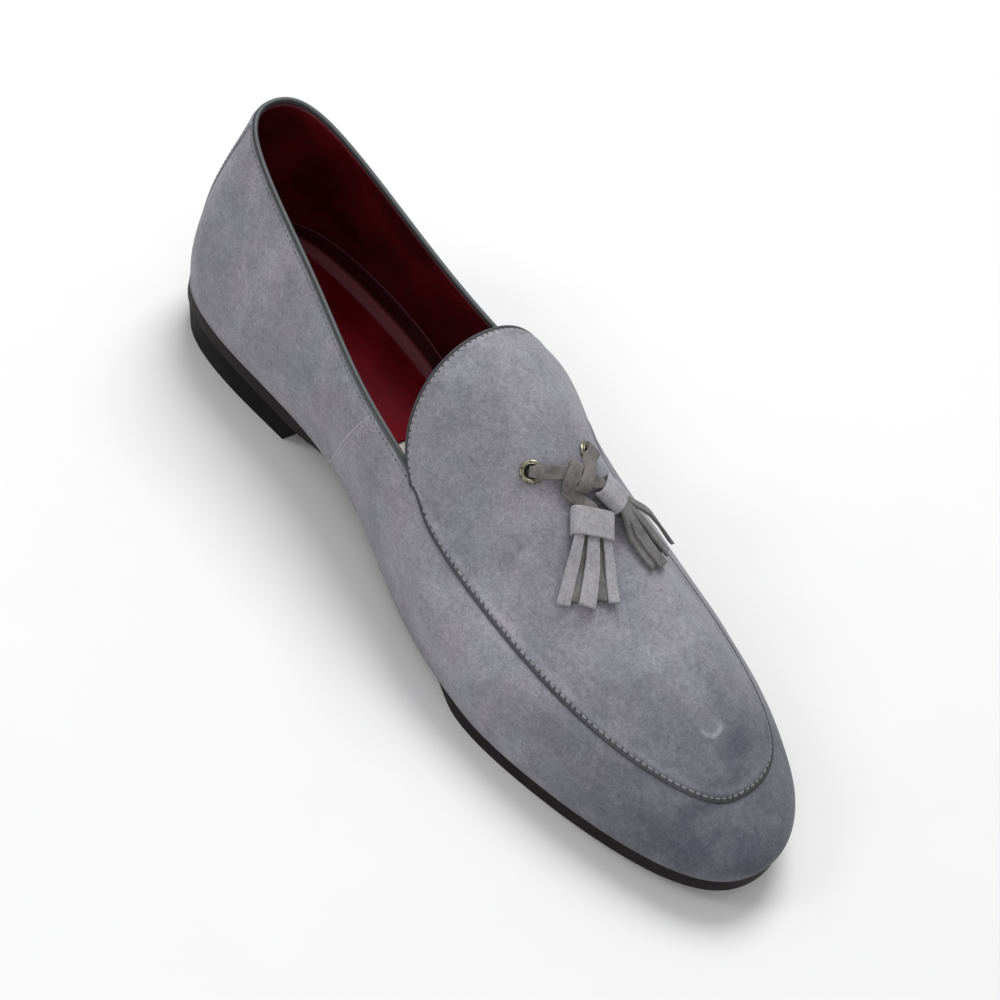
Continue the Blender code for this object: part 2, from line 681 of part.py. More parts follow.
def build_tassel(name, band_across, band_ahead, tail_across, tail_ahead):
    """A tassel that lies on the apron: a band, and strips fanned out from it."""
    knot, _ = knot_place()
    start = Vector((knot.x + band_across, knot.y - band_ahead))
    end = Vector((knot.x + tail_across, knot.y - tail_ahead))
    point, facing = surface_under(*start)
    band_centre = point + facing * (BAND_DEPTH / 2 + 2 * CLEARANCE)
    tip, _ = surface_under(*end)
    turn = turned_to(facing, tip - point)
    forward = -turn.col[1]
    across = turn.col[0]
    bpy.ops.mesh.primitive_cube_add(size=1)
    box = bpy.context.object
    mesh = box.data
    bpy.data.objects.remove(box)
    mesh.transform(Matrix.Diagonal((BAND_WIDTH, BAND_LENGTH, BAND_DEPTH, 1)))
    band = finish("tassel_" + name, mesh, SUEDE)
    band.location = band_centre
    band.rotation_euler = turn.to_euler()
    modify(band, "BEVEL", width=BAND_EDGE, segments=2)
    # Two layers of strips, set half a strip apart
    reach = BAND_LENGTH / 2 + STRIP_LENGTH
    for layer in range(2):
        height = (layer - 0.5) * STRIP_LAYER
        for k in range(STRIPS_PER_ROW - layer):
            slot = k - (STRIPS_PER_ROW - layer - 1) / 2
            centres, facings = [], []
            for share in np.linspace(0, 1, STRIP_STATIONS):
                fan = STRIP_PITCH + (STRIP_FAN - STRIP_PITCH) * share
                flat = band_centre + forward * reach * share + across * fan * slot
                below, faces = surface_under(flat.x, flat.y)
                lift = STRIP_LIFT + STRIP_THICKNESS / 2 + STRIP_LAYER * layer
                lying = below + faces * lift
                level = flat + facing * height
                settle = min(1.0, share / STRIP_SETTLE)
                centres.append(level * (1 - settle) + lying * settle)
                facings.append((facing * (1 - settle) + faces * settle).normalized())
            widths = np.linspace(STRIP_ROOT_WIDTH, STRIP_WIDTH, STRIP_STATIONS)
            strip = ribbon("strip", centres, facings, widths, STRIP_THICKNESS, SUEDE)
            SHOE.objects.unlink(strip)
            CUTTERS.objects.link(strip)
            strip.hide_render = True
            strip.display_type = "WIRE"
            modify(band, "BOOLEAN", operation="UNION", object=strip)
    build_lace_end(name, band_centre - forward * (BAND_LENGTH / 2 + 2 * CLEARANCE))


def build_lace_end(name, finish_point):
    """The end of the lace from the knot to a tassel's band."""
    knot, _ = knot_place()
    toward = (finish_point - knot).normalized()
    start = knot + toward * (knot_reach(toward) + 2 * CLEARANCE + LACE_END_RADIUS)
    points = [start.lerp(finish_point, share) for share in (0, 0.5, 1)]
    tube("lace_end_" + name, points, LACE_END_RADIUS, LACE)


def clear_scene():
    for old in list(bpy.data.objects):
        bpy.data.objects.remove(old)


def centre_shoe():
    """Moves the shoe so that it stands centred on the origin. The lace's knot and its ends
    don't count."""
    bpy.context.view_layer.update()
    loose = ("lace_knot", "lace_end", "tassel")
    held = [piece for piece in SHOE.objects if not piece.name.startswith(loose)]
    graph = bpy.context.evaluated_depsgraph_get()
    corners = []
    for piece in held:
        mesh = piece.evaluated_get(graph).to_mesh()
        corners += [piece.matrix_world @ vertex.co for vertex in mesh.vertices]
    corners = np.array(corners)
    middle = (corners.min(axis=0) + corners.max(axis=0)) / 2
    stand = bpy.data.objects.new("stand", None)
    SHOE.objects.link(stand)
    stand.location = (-middle[0], -middle[1], 0)
    for piece in [*SHOE.objects, *CUTTERS.objects]:
        if piece is not stand:
            piece.parent = stand


clear_scene()
SHOE = bpy.data.collections.new("tassel_loafer")
CUTTERS = bpy.data.collections.new("joined_strips")
for collection in (SHOE, CUTTERS):
    bpy.context.scene.collection.children.link(collection)

SUEDE = material("suede", (0.27, 0.27, 0.31), 0.9)
BINDING = material("binding", (0.06, 0.06, 0.07), 0.7)
LINING = material("lining", (0.12, 0.01, 0.02), 0.4)
SOLE_LEATHER = material("sole leather", (0.03, 0.025, 0.025), 0.5)
HEEL_BLACK = material("heel", (0.01, 0.01, 0.01), 0.45)
BRASS = material("antique brass", (0.3, 0.24, 0.15), 0.4, 1.0)
LACE = material("lace", (0.11, 0.10, 0.10), 0.85)

shell = upper_shell()
APRON_TREE = BVHTree.FromBMesh(shell)
shell.free()

build_upper()
build_outsole()
build_heel()
build_insole()
build_collar_binding()
build_tongue_binding()
build_back_strap()
build_eyelets()
build_knot()
build_lace_bars()
for tassel in TASSELS:
    build_tassel(*tassel)
centre_shoe()
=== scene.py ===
# %% [markdown]
# # A suede tassel loafer
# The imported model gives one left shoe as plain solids: the toe points along -Y and +X is the
# outer side. This scene gives it its leathers, seams, stitches and lace. The solids are
# loaded first, and nothing in them is moved.

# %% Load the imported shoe
import json
import math

import bpy
import numpy as np
from mathutils import Matrix, Vector
from mathutils.bvhtree import BVHTree

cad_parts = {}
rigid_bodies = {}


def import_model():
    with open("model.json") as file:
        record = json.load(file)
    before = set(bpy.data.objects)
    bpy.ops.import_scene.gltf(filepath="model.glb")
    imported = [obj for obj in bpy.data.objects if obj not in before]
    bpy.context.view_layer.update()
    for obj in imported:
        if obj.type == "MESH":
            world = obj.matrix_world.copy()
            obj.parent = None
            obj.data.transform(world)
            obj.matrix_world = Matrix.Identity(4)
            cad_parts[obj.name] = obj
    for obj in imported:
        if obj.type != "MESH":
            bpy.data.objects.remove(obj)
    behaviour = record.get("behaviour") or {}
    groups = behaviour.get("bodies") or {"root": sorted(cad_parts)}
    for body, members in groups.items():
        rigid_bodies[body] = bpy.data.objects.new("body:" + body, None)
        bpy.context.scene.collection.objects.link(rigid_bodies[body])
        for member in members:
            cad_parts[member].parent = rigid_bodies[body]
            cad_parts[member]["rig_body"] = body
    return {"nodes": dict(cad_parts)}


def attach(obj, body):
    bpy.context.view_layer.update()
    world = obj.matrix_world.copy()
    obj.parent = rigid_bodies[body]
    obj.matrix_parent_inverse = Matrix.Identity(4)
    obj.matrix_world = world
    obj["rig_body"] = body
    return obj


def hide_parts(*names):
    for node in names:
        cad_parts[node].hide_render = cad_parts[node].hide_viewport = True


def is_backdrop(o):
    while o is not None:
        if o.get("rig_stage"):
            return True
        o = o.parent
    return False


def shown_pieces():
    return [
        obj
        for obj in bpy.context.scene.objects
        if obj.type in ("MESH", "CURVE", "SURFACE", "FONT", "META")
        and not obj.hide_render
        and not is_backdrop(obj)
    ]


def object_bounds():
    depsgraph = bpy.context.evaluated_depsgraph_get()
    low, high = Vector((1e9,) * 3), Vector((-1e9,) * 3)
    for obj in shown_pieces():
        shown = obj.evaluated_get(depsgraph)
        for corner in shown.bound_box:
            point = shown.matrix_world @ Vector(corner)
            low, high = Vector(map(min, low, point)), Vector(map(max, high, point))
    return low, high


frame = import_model()
cad_low, cad_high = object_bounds()
print("nodes", sorted(frame["nodes"]))

# %% [markdown]
# ## The last
# A shoe takes its shape from a last. A few sections along it, each with its width, height and
# lean, are enough to draw the whole upper: a smooth curve goes through the sections' lower
# ends, another through their upper ends, and ribs climb from one to the other. A primitive
# could be pulled into a shoe by hand, but sections can be measured and corrected one by one.

# %% Sizes of the last
MM = 0.001
LENGTH = 300 * MM
BALL_WIDTH = 91.4 * MM
SEAT_WIDTH = 62.6 * MM
BACK_HEIGHT = 88.5 * MM
INSTEP_HEIGHT = 87.2 * MM
HEEL_HEIGHT = 14 * MM
SOLE_THICKNESS = 4.8 * MM
TOE_SPRING = 7.1 * MM
TOE_TURN = 3.7 * MM
BELLY = 4.7 * MM
WALL = 2 * MM
APRON_STEP = 0.7 * MM
APRON_SETBACK = 0.7 * MM
GAP = 0.3 * MM
SEAT_END, FOREFOOT_START, FOREFOOT_END = 0.20, 0.64, 0.73
MOVED = np.array([-1.39, -0.885, 0]) * MM  # from the last's own middle to the model's
# along, outer and inner half width of the foot edge, the same for the top edge, height, lean
HEEL_SECTIONS = [
    (0.000, 0.000, 0.000, 0.029, 0.000, 0.000, 1.000, 13),
    (0.061, 0.428, 0.440, 0.072, 0.254, 0.252, 0.945, 16),
    (0.228, 0.520, 0.481, 0.228, 0.379, 0.377, 0.783, 18),
    (0.380, 0.534, 0.453, 0.378, 0.477, 0.503, 0.659, 24),
]
FRONT_SECTIONS = [
    (0.535, 0.456, 0.420, 0.500, 0.394, 0.384, 0.595, 33),
    (0.662, 0.522, 0.478, 0.566, 0.384, 0.401, 0.494, 46),
    (0.761, 0.480, 0.457, 0.770, 0.345, 0.365, 0.400, 51),
    (0.939, 0.271, 0.296, 0.914, 0.191, 0.200, 0.361, 49),
    (1.000, 0.000, 0.000, 0.941, 0.000, 0.000, 0.330, 50),
]
# along, height and turn of the ridge over the instep
RIDGE = [
    (0.435, 1.000, 0.00),
    (0.546, 0.905, 0.00),
    (0.680, 0.650, 0.00),
    (0.795, 0.530, 0.12),
    (0.868, 0.462, 0.20),
]
JOINT = len(HEEL_SECTIONS)
TIP = JOINT + len(FRONT_SECTIONS) - 1
ROUND = 2 * TIP
print("sections", TIP + 1, "once round", ROUND)


# %% A smooth curve through points
class Spline:
    def __init__(self, points, closed=True):
        self.points = np.array(points, float)
        one = np.eye(len(self.points))
        beside = np.roll(one, 1, axis=1) + np.roll(one, -1, axis=1)
        turn = beside @ self.points - 2 * self.points
        system = 4 * one + beside
        if not closed:
            system[[0, -1]] = one[[0, -1]]
            turn[[0, -1]] = 0
        self.bend = np.linalg.solve(system, 6 * turn)

    def parts(self, places):
        places = np.asarray(places, float)
        whole = np.floor(places - 1e-9).astype(int)
        start = whole % len(self.points)
        return start, (start + 1) % len(self.points), (places - whole)[:, None]

    def at(self, places):
        start, end, t = self.parts(places)
        s = 1 - t
        line = self.points[start] * s + self.points[end] * t
        return line + ((s**3 - s) * self.bend[start] + (t**3 - t) * self.bend[end]) / 6

    def slope(self, places):
        start, end, t = self.parts(places)
        s = 1 - t
        line = self.points[end] - self.points[start]
        return line + ((3 * t**2 - 1) * self.bend[end] - (3 * s**2 - 1) * self.bend[start]) / 6


def unit(vectors):
    return vectors / np.maximum(np.linalg.norm(vectors, axis=-1, keepdims=True), 1e-9)


def smooth_step(t):
    t = np.clip(t, 0, 1)
    return t * t * (3 - 2 * t)


def bell(x, middle, width):
    return np.exp(-(((x - middle) / width) ** 2))


def underside(along):
    arch = 1 - smooth_step((along - SEAT_END) / (FOREFOOT_START - SEAT_END))
    spring = np.clip((along - FOREFOOT_END) / (1 - FOREFOOT_END), 0, 1)
    return HEEL_HEIGHT * arch + TOE_SPRING * spring**2


def place_along(y):
    return (LENGTH / 2 - y) / LENGTH


def last_curves():
    foot, top, lean = [], [], []
    table = HEEL_SECTIONS + FRONT_SECTIONS
    order = [(i, 1) for i in range(TIP + 1)] + [(i, -1) for i in range(TIP - 1, 0, -1)]
    for i, side in order:
        along, outer, inner, top_along, top_outer, top_inner, height, tilt = table[i]
        width, tall = (SEAT_WIDTH, BACK_HEIGHT) if i < JOINT else (BALL_WIDTH, INSTEP_HEIGHT)
        half, top_half = (outer, top_outer) if side > 0 else (-inner, -top_inner)
        turn = -TOE_TURN if i == TIP else 0
        foot.append([half * width + turn, LENGTH * (0.5 - along)])
        top.append([top_half * width + turn * 0.43, LENGTH * (0.5 - top_along), height * tall])
        lean.append([math.radians(tilt)])
    return Spline(foot), Spline(top), Spline(lean)


FOOT, TOP, LEAN = last_curves()
print("top edge at the back", np.round(TOP.at([0.0])[0] / MM, 1), "mm")


# %% Ribs of the wall and of the apron
def foot_edge(u, outset=0.0, lift=0.0):
    along = unit(FOOT.slope(u))
    flat = FOOT.at(u) + np.stack([-along[:, 1], along[:, 0]], axis=1) * np.reshape(outset, (-1, 1))
    return np.column_stack([flat, underside(place_along(flat[:, 1])) + SOLE_THICKNESS + lift])


def inward(u):
    along = unit(TOP.slope(u)[:, :2])
    return np.column_stack([along[:, 1], -along[:, 0], np.zeros(len(along))])


def climb(u):
    lean = LEAN.at(u)
    return inward(u) * np.sin(lean) + np.array([0, 0, 1]) * np.cos(lean)


def bezier(a, b, c, d, t):
    t = np.atleast_2d(t)[:, :, None]
    s = 1 - t
    a, b, c, d = [point[:, None, :] for point in (a, b, c, d)]
    return a * s**3 + 3 * b * s**2 * t + 3 * c * s * t**2 + d * t**3


def wall(u, t):
    """Points of the wall. t runs from 0 at the foot to 1 at the top edge."""
    foot = foot_edge(u, 0.0, GAP)
    top = TOP.at(u)
    span = np.linalg.norm(top - foot, axis=1)[:, None]
    up = np.array([0, 0, 1])
    return bezier(foot, foot - inward(u) * BELLY + up * span * 0.36, top - climb(u) * span * 0.35, top, t)


def ridge(rows):
    table = [[-turn * TOE_TURN, LENGTH * (0.5 - along), high * INSTEP_HEIGHT] for along, high, turn in RIDGE]
    line = Spline(table, closed=False)
    return line.at(rows - JOINT), line.slope(rows - JOINT)


def apron_rib(side, rows, t):
    """Points of the apron. t runs from 0 at its seam to 1 on the ridge."""
    u = rows if side > 0 else ROUND - rows
    seam = TOP.at(u)
    crest, crest_slope = ridge(rows)
    sweep = (math.radians(80) * (1 - np.clip((rows - JOINT) / 2, 0, 1)) ** 1.5)[:, None]
    leave = unit(climb(u) * np.cos(sweep) - side * unit(TOP.slope(u)) * np.sin(sweep))
    in_toe = np.clip((rows - JOINT - 2) / 2, 0, 1)[:, None]
    radial = unit((seam - crest) * np.array([1, 1, 0]))
    radial[:, 2] = radial[:, 1] * crest_slope[:, 2] / crest_slope[:, 1]
    across = np.tile([float(side), 0, 0], (len(rows), 1))
    reach = unit(across * (1 - in_toe) + radial * in_toe)
    outward = unit(np.cross(leave, TOP.slope(u)))
    start = seam + outward * APRON_STEP + leave * APRON_SETBACK
    end = crest + np.array([0, 0, APRON_STEP])
    span = np.linalg.norm(end - start, axis=1)[:, None]
    return bezier(start, start + leave * span * 0.38, end + reach * span * 0.42, end, t)


print("ball of the foot", np.round(wall(np.array([6.0]), [0.5])[0, 0] / MM, 1), "mm")

# %% [markdown]
# ## Making meshes from curves
# Leather pieces are sheets, and pipings, laces and threads are a profile drawn along a line.
# Two helpers make them: one joins rows of points to a sheet, the other sweeps a profile.
# Every mesh keeps its place in its own points, so its object stays at the origin.


# %% New pieces and their finishing
def new_piece(name, points, faces, look, slot, uv=None):
    mesh = bpy.data.meshes.new(name)
    mesh.from_pydata([tuple(p) for p in np.asarray(points).reshape(-1, 3) + MOVED], [], faces)
    mesh.validate()
    if uv is not None:
        layer = mesh.uv_layers.new(name="UVMap")
        corner = np.empty(len(mesh.loops), int)
        mesh.loops.foreach_get("vertex_index", corner)
        layer.data.foreach_set("uv", np.asarray(uv, float)[corner].ravel())
    mesh.materials.append(look)
    piece = bpy.data.objects.new(name, mesh)
    bpy.context.scene.collection.objects.link(piece)
    mesh.shade_smooth()
    return piece


def select_only(piece):
    bpy.ops.object.select_all(action="DESELECT")
    piece.select_set(True)
    bpy.context.view_layer.objects.active = piece


def apply_all(piece):
    select_only(piece)
    for modifier in list(piece.modifiers):
        bpy.ops.object.modifier_apply(modifier=modifier.name)


def clean(piece, join=0.01 * MM):
    """Merges doubles and, in edit mode, turns the faces outwards."""
    select_only(piece)
    bpy.ops.object.mode_set(mode="EDIT")
    bpy.ops.mesh.select_all(action="SELECT")
    bpy.ops.mesh.remove_doubles(threshold=join)
    bpy.ops.mesh.dissolve_degenerate(threshold=join)
    bpy.ops.mesh.normals_make_consistent(inside=False)
    bpy.ops.object.mode_set(mode="OBJECT")


def grid_faces(rows, columns, close_rows=False, close_columns=False):
    faces = []
    for i in range(rows if close_rows else rows - 1):
        for j in range(columns if close_columns else columns - 1):
            a, b = i * columns, (i + 1) % rows * columns
            k = (j + 1) % columns
            faces.append((a + j, b + j, b + k, a + k))
    return faces


def face_towards(piece, away_from):
    """Turns the faces of an open sheet so that most look away from a point."""
    mesh = piece.data
    centre = Vector(away_from)
    total = sum((face.center - centre).dot(face.normal) * face.area for face in mesh.polygons)
    if total < 0:
        mesh.flip_normals()


print("pieces can be made")


# %% Sheets
def bevel_edges(piece, width, degrees):
    edge = piece.modifiers.new("edge", "BEVEL")
    edge.width, edge.segments = width, 3
    edge.limit_method, edge.angle_limit = "ANGLE", math.radians(degrees)


def sheet(name, grid, look, slot, thickness, away_from, offset=-1.0, bevel=0.0, close_rows=False):
    rows, columns = grid.shape[:2]
    piece = new_piece(name, grid, grid_faces(rows, columns, close_rows), look, slot)
    clean(piece)
    face_towards(piece, Vector(away_from) + Vector(MOVED))
    solid = piece.modifiers.new("thickness", "SOLIDIFY")
    solid.thickness, solid.offset = thickness, offset
    if bevel:
        bevel_edges(piece, bevel, 50)
    apply_all(piece)
    piece.data.shade_smooth()
    return piece


print("sheets can be made")


# %% Lines, and values read along them
def run_along(line):
    """How far along a line each of its points is."""
    return np.concatenate([[0], np.cumsum(np.linalg.norm(np.diff(line, axis=0), axis=1))])


def rib_span(ribs):
    """How long each rib is."""
    return np.linalg.norm(np.diff(ribs, axis=1), axis=2).sum(axis=1)


def read_at(places, run, values):
    """Values that are known at some places, read at others."""
    return np.stack([np.interp(places, run, values[:, k]) for k in range(values.shape[1])], axis=1)


def resample(route, step, closed=False, others=()):
    """Points evenly spaced along a line, and other values read at the same places."""
    if closed:
        route = np.vstack([route, route[:1]])
        others = [np.vstack([value, value[:1]]) for value in others]
    run = run_along(route)
    count = max(2, int(round(run[-1] / step)))
    places = np.linspace(0, run[-1], count + 1)[:-1] if closed else np.linspace(0, run[-1], count)
    return (read_at(places, run, route), places, *[read_at(places, run, value) for value in others])


print("lines can be read")


# %% Sweeps
def ahead_along(rows, closed=False):
    """From each row to the next, measured across both of its neighbours."""
    return np.roll(rows, -1, axis=0) - np.roll(rows, 1, axis=0) if closed else np.gradient(rows, axis=0)


def sweep(name, route, ups, profile, look, slot, closed=False, scale=None):
    """A profile of (across, up) points drawn along a route. ups say which way is up there."""
    ahead = unit(ahead_along(route, closed))
    across = unit(np.cross(ahead, ups))
    up = unit(np.cross(across, ahead))
    scale = np.ones((len(route), 2)) if scale is None else scale
    profile = np.asarray(profile, float)
    size = profile[None] * scale[:, None]
    points = route[:, None] + across[:, None] * size[..., :1] + up[:, None] * size[..., 1:]
    rows, columns = points.shape[:2]
    faces = grid_faces(rows, columns, closed, True)
    if not closed:
        faces.append(tuple(range(columns)))
        faces.append(tuple(range((rows - 1) * columns, rows * columns))[::-1])
    run = run_along(route)
    share = np.arange(columns) / columns
    uv = np.stack(np.broadcast_arrays(run[:, None], share[None]), axis=-1).reshape(-1, 2)
    piece = new_piece(name, points, faces, look, slot, uv)
    clean(piece)
    return piece


print("sweeps can be made")


# %% Profiles
def around(sides):
    """Angles evenly spaced round a circle."""
    return np.arange(sides) * 2 * math.pi / sides


def round_profile(radius, sides):
    angles = around(sides)
    return np.stack([np.cos(angles) * radius, np.sin(angles) * radius], axis=1)


def strap_profile(width, thickness, rounding):
    """A flat strap's section, with rounded edges."""
    sides = 4
    corner = rounding * thickness
    points = []
    for cx, cy, start in ((1, 1, 0), (-1, 1, 90), (-1, -1, 180), (1, -1, 270)):
        for k in range(sides + 1):
            angle = math.radians(start + 90 * k / sides)
            x = cx * (width / 2 - corner) + corner * math.cos(angle)
            y = cy * (thickness / 2 - corner) + corner * math.sin(angle)
            points.append((x, y))
    return points


print("a strap's profile has", len(strap_profile(1.0, 0.2, 0.4)), "points")

# %% [markdown]
# ## Suede, lining leather and the other finishes
# Suede is the fleshy side of a hide, buffed to a nap. Light catches the fibres, so the colour
# wanders in soft clouds, and close up there is a fine salt and pepper grain. The same clouds
# and fibres are used on shoe, tassels and lace, so they are one node group with inputs. The
# toe is painted darker towards its tip and the sole, with a small patch of painted shade and a
# pale crescent that is partly a rubbed mark and partly a painted highlight. The patterns read
# Object coordinates, which are metres here.


# %% Node helpers
def join(tree, value, socket):
    if isinstance(value, bpy.types.NodeSocket):
        tree.links.new(value, socket)
    else:
        socket.default_value = value


def feed(tree, node, **inputs):
    """Sets a node's inputs by name, to a number or to another node's output."""
    for key, value in inputs.items():
        join(tree, value, node.inputs[key.replace("_", " ")])
    return node


def put(tree, kind, settings=None, **inputs):
    made = tree.nodes.new(kind)
    for key, value in (settings or {}).items():
        setattr(made, key, value)
    return feed(tree, made, **inputs)


def calc(tree, operation, a, b=0.0, clamp=False):
    """One step of arithmetic. plus and times are short for the two used most."""
    made = put(tree, "ShaderNodeMath", {"operation": operation, "use_clamp": clamp})
    join(tree, a, made.inputs[0])
    join(tree, b, made.inputs[1])
    return made.outputs[0]


def plus(tree, a, b):
    return calc(tree, "ADD", a, b)


def times(tree, a, b):
    return calc(tree, "MULTIPLY", a, b)


def noise(tree, vector, scale, detail=2.0, roughness=0.5, distortion=0.0):
    return put(
        tree, "ShaderNodeTexNoise", Vector=vector, Scale=scale, Detail=detail, Roughness=roughness,
        Distortion=distortion,
    ).outputs["Fac"]


def ramp(tree, value, low, high, to_low=0.0, to_high=1.0):
    """Smoothly from one value at low to another at high."""
    made = put(tree, "ShaderNodeMapRange", {"interpolation_type": "SMOOTHSTEP", "clamp": True}, Value=value)
    for socket, number in zip(("From Min", "From Max", "To Min", "To Max"), (low, high, to_low, to_high)):
        join(tree, number, made.inputs[socket])
    return made.outputs["Result"]


def blend(tree, factor, a, b, mode="MIX"):
    """Mixes two colours, whose sockets on a Mix node are 6 and 7."""
    made = put(tree, "ShaderNodeMix", {"data_type": "RGBA", "blend_type": mode})
    join(tree, factor, made.inputs[0])
    join(tree, a, made.inputs[6])
    join(tree, b, made.inputs[7])
    return made.outputs[2]


def near(tree, value, middle, width):
    """1 where a value is near the middle, falling to 0 at the width."""
    gap = calc(tree, "ABSOLUTE", calc(tree, "SUBTRACT", value, middle))
    return ramp(tree, gap, width, width * 0.45)


def axis(tree, vector, name):
    return put(tree, "ShaderNodeSeparateXYZ", Vector=vector).outputs[name]


def distance_to(tree, vector, middle):
    """Level distance from a place given in millimetres."""
    flat = stretched(tree, vector, (1.0, 1.0, 0.0))
    made = put(tree, "ShaderNodeVectorMath", {"operation": "DISTANCE"})
    join(tree, flat, made.inputs[0])
    join(tree, (middle[0] * MM, middle[1] * MM, 0.0), made.inputs[1])
    return made.outputs["Value"]


def stretched(tree, vector, scale):
    return put(tree, "ShaderNodeMapping", Vector=vector, Scale=scale).outputs["Vector"]


def srgb(red, green, blue):
    """A colour as a screen shows it, made linear."""
    linear = lambda c: ((c / 255 + 0.055) / 1.055) ** 2.4 if c > 10 else c / 255 / 12.92
    return linear(red), linear(green), linear(blue), 1.0


print("node helpers ready")


# %% Materials and node groups
def material(name):
    made = bpy.data.materials.new(name)
    made.use_nodes = True
    tree = made.node_tree
    shader = tree.nodes["Principled BSDF"]
    place = tree.nodes.new("ShaderNodeTexCoord").outputs["Object"]
    return made, tree, shader, place


def group(name, inputs, outputs):
    tree = bpy.data.node_groups.new(name, "ShaderNodeTree")
    for label, kind, value in inputs:
        socket = tree.interface.new_socket(name=label, in_out="INPUT", socket_type=kind)
        if value is not None:
            socket.default_value = value
    for label, kind in outputs:
        tree.interface.new_socket(name=label, in_out="OUTPUT", socket_type=kind)
    return tree, tree.nodes.new("NodeGroupInput"), tree.nodes.new("NodeGroupOutput")


def use(tree, node_group, **inputs):
    made = tree.nodes.new("ShaderNodeGroup")
    made.node_tree = node_group
    return feed(tree, made, **inputs)


def bump(tree, height, strength, distance):
    return put(tree, "ShaderNodeBump", Height=height, Strength=strength, Distance=distance).outputs["Normal"]


print("materials can be made")


# %% Node group: the nap of suede
def nap_group():
    """Soft clouds, strokes of the brush, a slight change of tint, and the fibres themselves."""
    tree, given, out = group(
        "suede_nap",
        [
            ("Vector", "NodeSocketVector", None),
            ("Cloud Scale", "NodeSocketFloat", 45.0),
            ("Fibre Scale", "NodeSocketFloat", 1500.0),
        ],
        [(label, "NodeSocketFloat") for label in ("Clouds", "Fibres", "Tint", "Height")],
    )
    at = given.outputs["Vector"]
    cloud_scale, fibre_scale = given.outputs["Cloud Scale"], given.outputs["Fibre Scale"]
    wide = noise(tree, at, cloud_scale, 3.0, 0.6, 0.4)
    small = noise(tree, at, times(tree, cloud_scale, 5.3), 3.0, 0.6, 0.2)
    strokes = noise(tree, stretched(tree, at, (1.0, 0.35, 1.0)), times(tree, cloud_scale, 14.0), 2.0, 0.6)
    clouds = plus(tree, times(tree, wide, 0.66), times(tree, small, 0.14))
    clouds = plus(tree, clouds, times(tree, strokes, 0.2))
    fine = noise(tree, at, fibre_scale, 2.0, 0.7)
    coarse = noise(tree, at, times(tree, fibre_scale, 0.4), 2.0, 0.6)
    fibres = plus(tree, times(tree, fine, 0.6), times(tree, coarse, 0.4))
    tint = noise(tree, stretched(tree, at, (1.3, 1.0, 0.8)), times(tree, cloud_scale, 1.9), 2.0, 0.5)
    height = plus(tree, times(tree, fibres, 0.7), times(tree, small, 0.3))
    for label, value in (("Clouds", clouds), ("Fibres", fibres), ("Tint", tint), ("Height", height)):
        join(tree, value, out.inputs[label])
    return tree


NAP = nap_group()
print("group", NAP.name)


# %% Suede of the shoe
def suede(name, dark, light, darken_toe=False, cloud_scale=36.0, contrast=1.0, grain=0.2):
    """A nap of two colours, warmer and cooler in turn, with a fine salt and pepper grain."""
    made, tree, shader, place = material(name)
    nap = use(tree, NAP, Vector=place, Cloud_Scale=cloud_scale, Fibre_Scale=1500.0)
    level = ramp(tree, nap.outputs["Clouds"], 0.5 - 0.22 / contrast, 0.5 + 0.22 / contrast)
    colour = blend(tree, level, dark, light)
    warmth = ramp(tree, nap.outputs["Tint"], 0.35, 0.65)
    tint = blend(tree, warmth, (0.985, 1.0, 1.012, 1), (1.012, 0.992, 0.99, 1))
    colour = blend(tree, 1.0, colour, tint, "MULTIPLY")
    if darken_toe:
        toe = use(tree, TOE, Vector=place, Clouds=nap.outputs["Clouds"]).outputs
        # A pale crescent on the toe, partly a rubbed mark and partly a painted highlight; then the toe painted
        # darker towards its tip and the sole, with a small patch of painted shade
        colour = blend(tree, toe["Worn And Highlight"], colour, srgb(158, 158, 164))
        colour = blend(tree, toe["Shade"], colour, srgb(71, 73, 83))
    shade = ramp(tree, nap.outputs["Fibres"], 0.3, 0.7, 1 - grain, 1 + grain)
    speckle = put(tree, "ShaderNodeCombineColor", Red=shade, Green=shade, Blue=shade).outputs[0]
    feed(
        tree, shader, Base_Color=blend(tree, 1.0, colour, speckle, "MULTIPLY"),
        Roughness=ramp(tree, nap.outputs["Fibres"], 0.3, 0.7, 0.98, 0.86), Specular_IOR_Level=0.15,
        Sheen_Weight=0.12, Sheen_Roughness=0.5, Normal=bump(tree, nap.outputs["Height"], 0.55, 0.4 * MM),
    )
    return made


